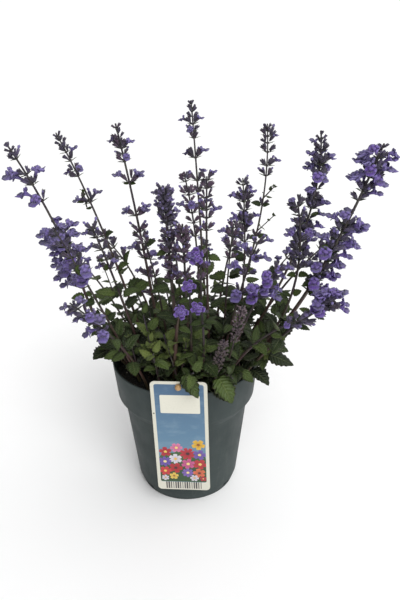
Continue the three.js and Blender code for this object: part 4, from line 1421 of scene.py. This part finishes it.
def grow_cyme(node, outward, along, reach, flowers, look):
    """The flowers on one side of a whorl, on a short branch with a bract below it."""
    middle = node + (outward * 0.6 + along * 0.8) * reach * 0.3
    halfway = node.lerp(middle, 0.5) + along * 0.2
    stalk_lines.append([(node, 0.55, 0.8), (halfway, 0.45, 0.85), (middle, 0.4, 0.9)])
    crowd = look["crowd"]
    calyx = min(1.05, 0.52 + reach * 0.042) * look["scale"]
    for i in range(round(max(2, reach * 0.3) * crowd) + flowers):
        opens = i < flowers
        swing, least_lift, most_lift, smallest = OPEN_STANCE if opens else SHUT_STANCE
        out = Quaternion(along, pick(-swing, swing)) @ outward
        lift = pick(least_lift, most_lift)
        ahead = out * cos(lift) + along * sin(lift)
        foot = middle + out * reach * pick(-0.1, 0.12 * crowd)
        foot += along * reach * pick(-0.14, 0.16) * crowd
        size = max(smallest, calyx) * pick(0.88, 1.12)
        opening = "open" if opens else "bud" if chance.random() < look["buds"] else "none"
        grow_floret(foot, ahead, size, opening, look)
    bract = (4 + reach * 0.35) * look["scale"]
    put("bract", node, outward * 0.85 + along * 0.45, along, bract, vary(0.3, 0.2))


def grow_whorl(node, along, whorl, look):
    """Two bunches of flowers, one on each side, and in a large whorl one behind and one in front."""
    reach, left, right, front = (*whorl, 0, 0, 0)[:4]
    lean = pick(-0.35, 0.35)
    bunches = [(pi, reach, left), (0, reach, right)]
    if reach >= FULL_REACH or look["full"]:
        depth = reach * DEPTH_REACH
        bunches += [(-pi / 2, depth, 0), (pi / 2, depth, left + right > 1)]
    for angle, size, flowers in bunches:
        grow_cyme(node, across(along, angle + lean), along, size, flowers, look)
    for _ in range(front):
        ahead = Vector((pick(-0.5, 0.5), -FACING, pick(0.1, 0.6)))
        grow_floret(node + FRONT_FOOT, ahead, FRONT_SIZE, "open", look)


def grow_head(tip, look):
    """A round bunch of flowers that faces the front, their lower lips outward round a middle one."""
    node = tip + Vector(look["head"])
    start = pick(0, pi)
    grow_floret(node, Vector((0.1, -FACING, 0.35)), HEAD_SIZE, "open", look)
    for number in range(HEAD_FLOWERS):
        angle = start + 2 * pi * number / HEAD_FLOWERS
        out = Vector((cos(angle), 0, sin(angle)))
        ahead = Vector((0, -FACING, 0.25)) + out * 0.28
        foot = node + out * 0.8 + Vector((0, 1.2, 0))
        grow_floret(foot, ahead, HEAD_SIZE, "open", look, -out)


def grow_tip(path, first, look):
    """Small pairs of closed calyces, each square to the pair below, above the first whorl."""
    drop, last_gap = TIP_GAPS
    turn = pick(0, pi)
    while drop < first - last_gap:
        node, along = along_path(path, path[-1][1] - drop)
        size = min(0.8, 0.5 + 0.018 * drop) * look["scale"]
        for side in (0, pi):
            outward = across(along, turn + side)
            for _ in range(2):
                out = Quaternion(along, pick(-0.6, 0.6)) @ outward
                ahead = out * pick(0.4, 1.0) + along * 0.8
                foot = node + out * (0.6 + drop * 0.06) + along * pick(0, 1)
                grow_floret(foot, ahead, size * pick(0.85, 1.15), "none", look)
            put("bract", node, outward * 0.8 + along * 0.6, along, 3.2 + drop * 0.12, vary(0.3, 0.2))
        drop += pick(3.2, 4.2)
        turn += pi / 2


def grow_stalk(path, width, ripeness=1):
    line = []
    for place, distance in path:
        share = distance / path[-1][1]
        line.append((place, width + (TIP_WIDTH - width) * share, share * ripeness))
    stalk_lines.append(line)


def grow_flowering(look):
    path = path_of(look["foot"], look["middle"], look["tip"], sway=look["sway"])
    tip, end = path[-1]
    grow_stalk(path, look["width"], look["ripeness"])
    grow_tip(path, look["whorls"][0][0], look)
    if "head" in look:
        grow_head(tip, look)
    for drop, *whorl in look["whorls"]:
        node, along = along_path(path, end - drop)
        calyx = look["calyx"] - drop * look["browning"]
        bloom = look["bloom"] * min(1, TOP_BLOOM + (1 - TOP_BLOOM) * drop / FULL_BLOOM_DROP)
        grow_whorl(node, along, whorl, {**look, "calyx": calyx, "bloom": bloom})
    for drop, angle, length in look["leaves"]:
        node, _ = along_path(path, end - drop)
        ahead = Vector((cos(radians(angle)), pick(-0.5, 0.1), sin(radians(angle))))
        up = Vector((pick(-0.3, 0.3), -0.5, 0.8))
        put("leaf", node, ahead, up, length, vary(0.5, 0.25))
    lowest = end - look["whorls"][-1][0]
    leafy = lowest * LEAFY_SHARE
    turn = pick(0, 1.5)
    grow_leaves(path, 7, leafy, LOWER_LEAVES, turn)
    grow_leaves(path, leafy + 9, lowest - 4, UPPER_LEAVES, turn)


def grow_sprig(root, tip, length, tone):
    """A side shoot with a few pairs of leaves, the last pair small and upright."""
    root, tip = Vector(root), Vector(tip)
    stalk_lines.append([(root, 0.6, 0.5), (root.lerp(tip, 0.5), 0.5, 0.7), (tip, 0.4, 0.8)])
    along = (tip - root).normalized()
    turn = pick(-0.4, 0.4)
    for share, size, rise in ((0.35, 1.0, 0.3), (0.7, 0.85, 0.55), (0.97, 0.6, 0.95), (1.0, 0.4, 1.2)):
        for side in (0, pi):
            outward = across(along, turn + side)
            grow_leaf(root.lerp(tip, share), outward, along, length * size, vary(tone, 0.12), rise)
        turn += pi / 2


def grow_hanging(root, tip, tone):
    """A leaf that hangs down, on a stalk that comes from behind it."""
    root = Vector(root)
    reach = Vector(tip) - root
    behind = [root + Vector(offset) for offset in ((0, 14, -2), (0, 6, 1))]
    stalk_lines.append([(behind[0], 0.5, 0.4), (behind[1], 0.5, 0.4), (root, 0.45, 0.4)])
    put("leaf", root, reach, Vector((0.1, -0.8, 0.6)), reach.length * 1.1, tone)


def spiral(number, count, radius, turn):
    """The place of one of count things that are spread evenly over a round ground."""
    out = radius * sqrt((number + 0.5) / count)
    return Vector((out * cos(number * turn), out * sin(number * turn), 0))


def grow_filler(foot):
    """A short leafy shoot that leans away from the middle, where no watering gap is."""
    height = pick(*FILLER_HEIGHTS)
    lean = foot * FILLER_LEAN * height
    top = foot + lean + Vector((pick(-8, 8), pick(-8, 8), FILLER_FOOT + height))
    middle = (foot + top) / 2 - lean * 0.15
    middle.z = FILLER_FOOT + height * 0.5
    path = path_of((foot.x, foot.y), middle, top, steps=12)
    if not any(in_gap(place) for place, _ in path):
        grow_stalk(path, width=0.95)
        grow_leaves(path, 6, path[-1][1] + 1, FILLER_LEAVES, pick(0, 3))


def grow_plant():
    for look in stems.values():
        grow_flowering(look)
    for foot, middle, tip in LEAFY_SHOOTS.values():
        path = path_of(foot, middle, tip, steps=14)
        grow_stalk(path, width=1.1)
        grow_leaves(path, 8, path[-1][1] + 1, SHOOT_LEAVES, pick(0, 3))
    for sprig in SPRIGS:
        grow_sprig(*sprig)
    for leaf in HANGING_LEAVES:
        grow_hanging(*leaf)
    for number in range(FILLER_SHOOTS):
        foot = spiral(number, FILLER_SHOOTS, FILLER_RADIUS, FILLER_TURN)
        if foot.y >= FILLER_FRONT:
            grow_filler(foot)


def strew_crumbs():
    for number in range(CRUMBS):
        place = spiral(number, CRUMBS, CRUMB_RADIUS, CRUMB_TURN)
        place.z = soil_height(place.length)
        place.z += lumps(place) + pick(-0.2, 0.5)
        ahead = Vector((pick(-1, 1), pick(-1, 1), pick(-0.2, 0.2)))
        tone = chance.random() ** 2 * 0.9
        pale = chance.random() < PALE_CRUMBS
        size = pick(1.2, 2) if pale else pick(1.2, 4.2)
        put("crumb", place, ahead, UP, size, 1 if pale else tone)


# ---- Geometry nodes ----
def scatter_tree():
    """Puts one of the shapes at each point, turned and sized as the point's attributes say."""
    inputs = {"Points": "Geometry", "Shapes": "Collection", "Size": "Float", "Size variation": "Float"}
    inputs.update({"Tilt variation": "Float", "Seed": "Int", "Material": "Material"})
    nodes, given, end = node_group("scatter", "Geometry", inputs, "Geometry")

    def turned(euler):
        return nodes.add("FunctionNodeEulerToRotation", {"Euler": euler}).outputs[0]

    whole = {"Collection": given["Shapes"], "Separate Children": True, "Reset Children": True}
    shapes = nodes.add("GeometryNodeCollectionInfo", whole).outputs[0]
    spread = given["Size variation"]
    limits = {2: nodes.minus(1.0, spread), 3: nodes.plus(1.0, spread), "Seed": given["Seed"]}
    change = nodes.add("FunctionNodeRandomValue", limits, data_type="FLOAT").outputs[1]
    placed = nodes.add("GeometryNodeInstanceOnPoints", {
        "Points": given["Points"], "Instance": shapes, "Pick Instance": True,
        "Instance Index": nodes.noted("variant", "INT"),
        "Rotation": turned(nodes.noted("turn", "FLOAT_VECTOR")),
        "Scale": nodes.times(nodes.times(nodes.noted("size"), given["Size"]), change),
    }).outputs[0]
    tilt = given["Tilt variation"]
    limits = {0: nodes.minus(0.0, tilt), 1: tilt, "Seed": given["Seed"]}
    tilt = nodes.add("FunctionNodeRandomValue", limits, data_type="FLOAT_VECTOR").outputs[0]
    tilted = {"Instances": placed, "Rotation": turned(tilt)}
    copied = nodes.add("GeometryNodeRotateInstances", tilted).outputs[0]
    real = nodes.add("GeometryNodeRealizeInstances", {"Geometry": copied}).outputs[0]
    painted = {"Geometry": real, "Material": given["Material"]}
    nodes.give(end, nodes.add("GeometryNodeSetMaterial", painted).outputs[0])
    return nodes.tree


def stalk_tree():
    """Gives each line of points a square section of the size that its points' attribute says."""
    inputs = {"Lines": "Geometry", "Corners": "Int", "Thickness": "Float", "Material": "Material"}
    nodes, given, end = node_group("stalks", "Geometry", inputs, "Geometry")
    section = {"Resolution": given["Corners"], "Radius": 1.0}
    swept = nodes.add("GeometryNodeCurveToMesh", {
        "Curve": nodes.add("GeometryNodeMeshToCurve", {"Mesh": given["Lines"]}).outputs[0],
        "Profile Curve": nodes.add("GeometryNodeCurvePrimitiveCircle", section).outputs[0],
        "Scale": nodes.times(nodes.noted("thickness"), given["Thickness"]), "Fill Caps": True,
    }).outputs[0]
    painted = {"Geometry": swept, "Material": given["Material"]}
    nodes.give(end, nodes.add("GeometryNodeSetMaterial", painted).outputs[0])
    return nodes.tree


def run_tree(name, points, notes, tree, values):
    """Makes a piece from points and their attributes, which are {name: (kind, values)}, by running
    a tree with its named inputs. The piece keeps a plain mesh and its tone."""
    for note, (kind, content) in notes.items():
        field = "vector" if kind == "FLOAT_VECTOR" else "value"
        points.attributes.new(note, kind, "POINT").data.foreach_set(field, content)
    piece = show(name, points)
    modifier = piece.modifiers.new(tree.name, "NODES")
    modifier.node_group = tree
    for item in tree.interface.items_tree:
        if item.in_out == "INPUT" and item.name in values:
            modifier[item.identifier] = values[item.name]
    mesh = settle(piece)
    for spare in set(notes) - {"tone"}:
        if spare in mesh.attributes:
            mesh.attributes.remove(mesh.attributes[spare])
    return piece


scatter = scatter_tree()


def scattered(name, kind, material, size_variation=0.0, tilt_variation=0.0, seed=1):
    """A piece with all the copies of one kind."""
    make_shape, variants = SHAPES[kind]
    group = bpy.data.collections.new(name + "_shapes")
    models = []
    for i, settings in enumerate(variants):
        title = f"{name}_{i:02d}"
        models.append(bpy.data.objects.new(title, make_shape(*settings).mesh(title)))
        group.objects.link(models[-1])
    places, turns, sizes, chosen, tones = zip(*copies[kind])
    points = bpy.data.meshes.new(name)
    points.from_pydata(places, [], [])
    notes = {
        "turn": ("FLOAT_VECTOR", [value for turn in turns for value in turn]),
        "size": ("FLOAT", sizes),
        "variant": ("INT", chosen),
        "tone": ("FLOAT", tones),
    }
    piece = run_tree(name, points, notes, scatter, {
        "Shapes": group, "Size": 1.0, "Size variation": size_variation,
        "Tilt variation": tilt_variation, "Seed": seed, "Material": material,
    })
    for model in models:
        bpy.data.objects.remove(model)
    bpy.data.collections.remove(group)
    return piece


def make_stalks():
    places = [place * MM for line in stalk_lines for place, _, _ in line]
    sizes = [size * MM for line in stalk_lines for _, size, _ in line]
    tones = [tone for line in stalk_lines for _, _, tone in line]
    edges = []
    first = 0
    for line in stalk_lines:
        edges += [(i, i + 1) for i in range(first, first + len(line) - 1)]
        first += len(line)
    points = bpy.data.meshes.new("stalks")
    points.from_pydata(places, edges, [])
    notes = {"thickness": ("FLOAT", sizes), "tone": ("FLOAT", tones)}
    values = {"Corners": 4, "Thickness": STALK_THICKNESS, "Material": stalk_material()}
    return run_tree("stalks", points, notes, stalk_tree(), values)


# ---- Making the pieces ----
FRESH_CALYX = [(46, 39, 54), (58, 51, 74), (90, 78, 114), (60, 62, 54)]
FRESH_TONES = [(0.0, (60, 42, 54)), (0.3, (86, 60, 82))]
SPENT_CALYX = [(74, 58, 66), (104, 84, 96), (156, 134, 142), (66, 60, 48)]
SPENT_TONES = [(0.3, (92, 82, 62))]

grow_plant()
strew_crumbs()
green = leaf_material()
violet = petal_material()
fresh = calyx_material("calyx", *FRESH_CALYX, *FRESH_TONES)
dry = calyx_material("spent_calyx", *SPENT_CALYX, *SPENT_TONES)
pieces = [  # (piece, slot, nodes that it replaces)
    (make_pot(), "pot_plastic", ["pot"]),
    (make_soil(), "potting_soil", ["soil"]),
    (make_label(), "label_card", ["label"]),
    (make_peg(), "peg_plastic", ["label_peg"]),
    (make_stalks(), "stalk", [*stems, *("leafy_shoot_" + name for name in LEAFY_SHOOTS)]),
    (scattered("leaves", "leaf", green, 0.08, 0.18, seed=3), "leaf", []),
    (scattered("bracts", "bract", green, 0.1, 0.1, seed=4), "leaf", []),
    (scattered("calyces", "calyx", fresh), "calyx", []),
    (scattered("spent_calyces", "spent_calyx", dry), "spent_calyx", []),
    (scattered("corollas", "corolla", violet), "petal", []),
    (scattered("buds", "bud", violet), "petal", []),
    (scattered("crumbs", "crumb", crumb_material()), "potting_soil", []),
]
for piece, slot, nodes in pieces:
    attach(piece, "root")
    if nodes:
        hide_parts(*nodes)

# ---- Stage ----
FLOOR_HALF = 40000
FLOOR_DROP = 0.2
WHITE = (1, 1, 1, 1)
DARK = (0.15, 0.15, 0.15, 1)
KEY_ENERGY = 1.7
KEY_WIDTH = 35  # degrees
KEY_TURN = (42, 18, 0)
floor_corners = [Vector((x, y, 0)) * FLOOR_HALF for x, y in ((-1, -1), (1, -1), (1, 1), (-1, 1))]
floor = show("floor", mesh_of("floor", floor_corners, [(0, 1, 2, 3)]), floor_material())
floor.location.z = -FLOOR_DROP * MM

world = bpy.data.worlds.new("studio")
world.use_nodes = True
studio = Nodes(world.node_tree)
from_left = studio.parts(studio.add("ShaderNodeTexCoord").outputs["Generated"])["X"]
walls = studio.ramp(studio.between(from_left, -1, 1), (0.2, DARK), (0.45, WHITE))
seen = studio.add("ShaderNodeLightPath").outputs["Is Camera Ray"]
background = world.node_tree.nodes["Background"].inputs
studio.give(background["Color"], studio.mixed(seen, walls, WHITE))
studio.give(background["Strength"], 1.0)
bpy.context.scene.world = world

key_data = bpy.data.lights.new("key", "SUN")
key_data.energy = KEY_ENERGY
key_data.angle = radians(KEY_WIDTH)
key = bpy.data.objects.new("key", key_data)
key.rotation_euler = [radians(angle) for angle in KEY_TURN]
bpy.context.scene.collection.objects.link(key)

bpy.context.scene.view_settings.view_transform = "Standard"
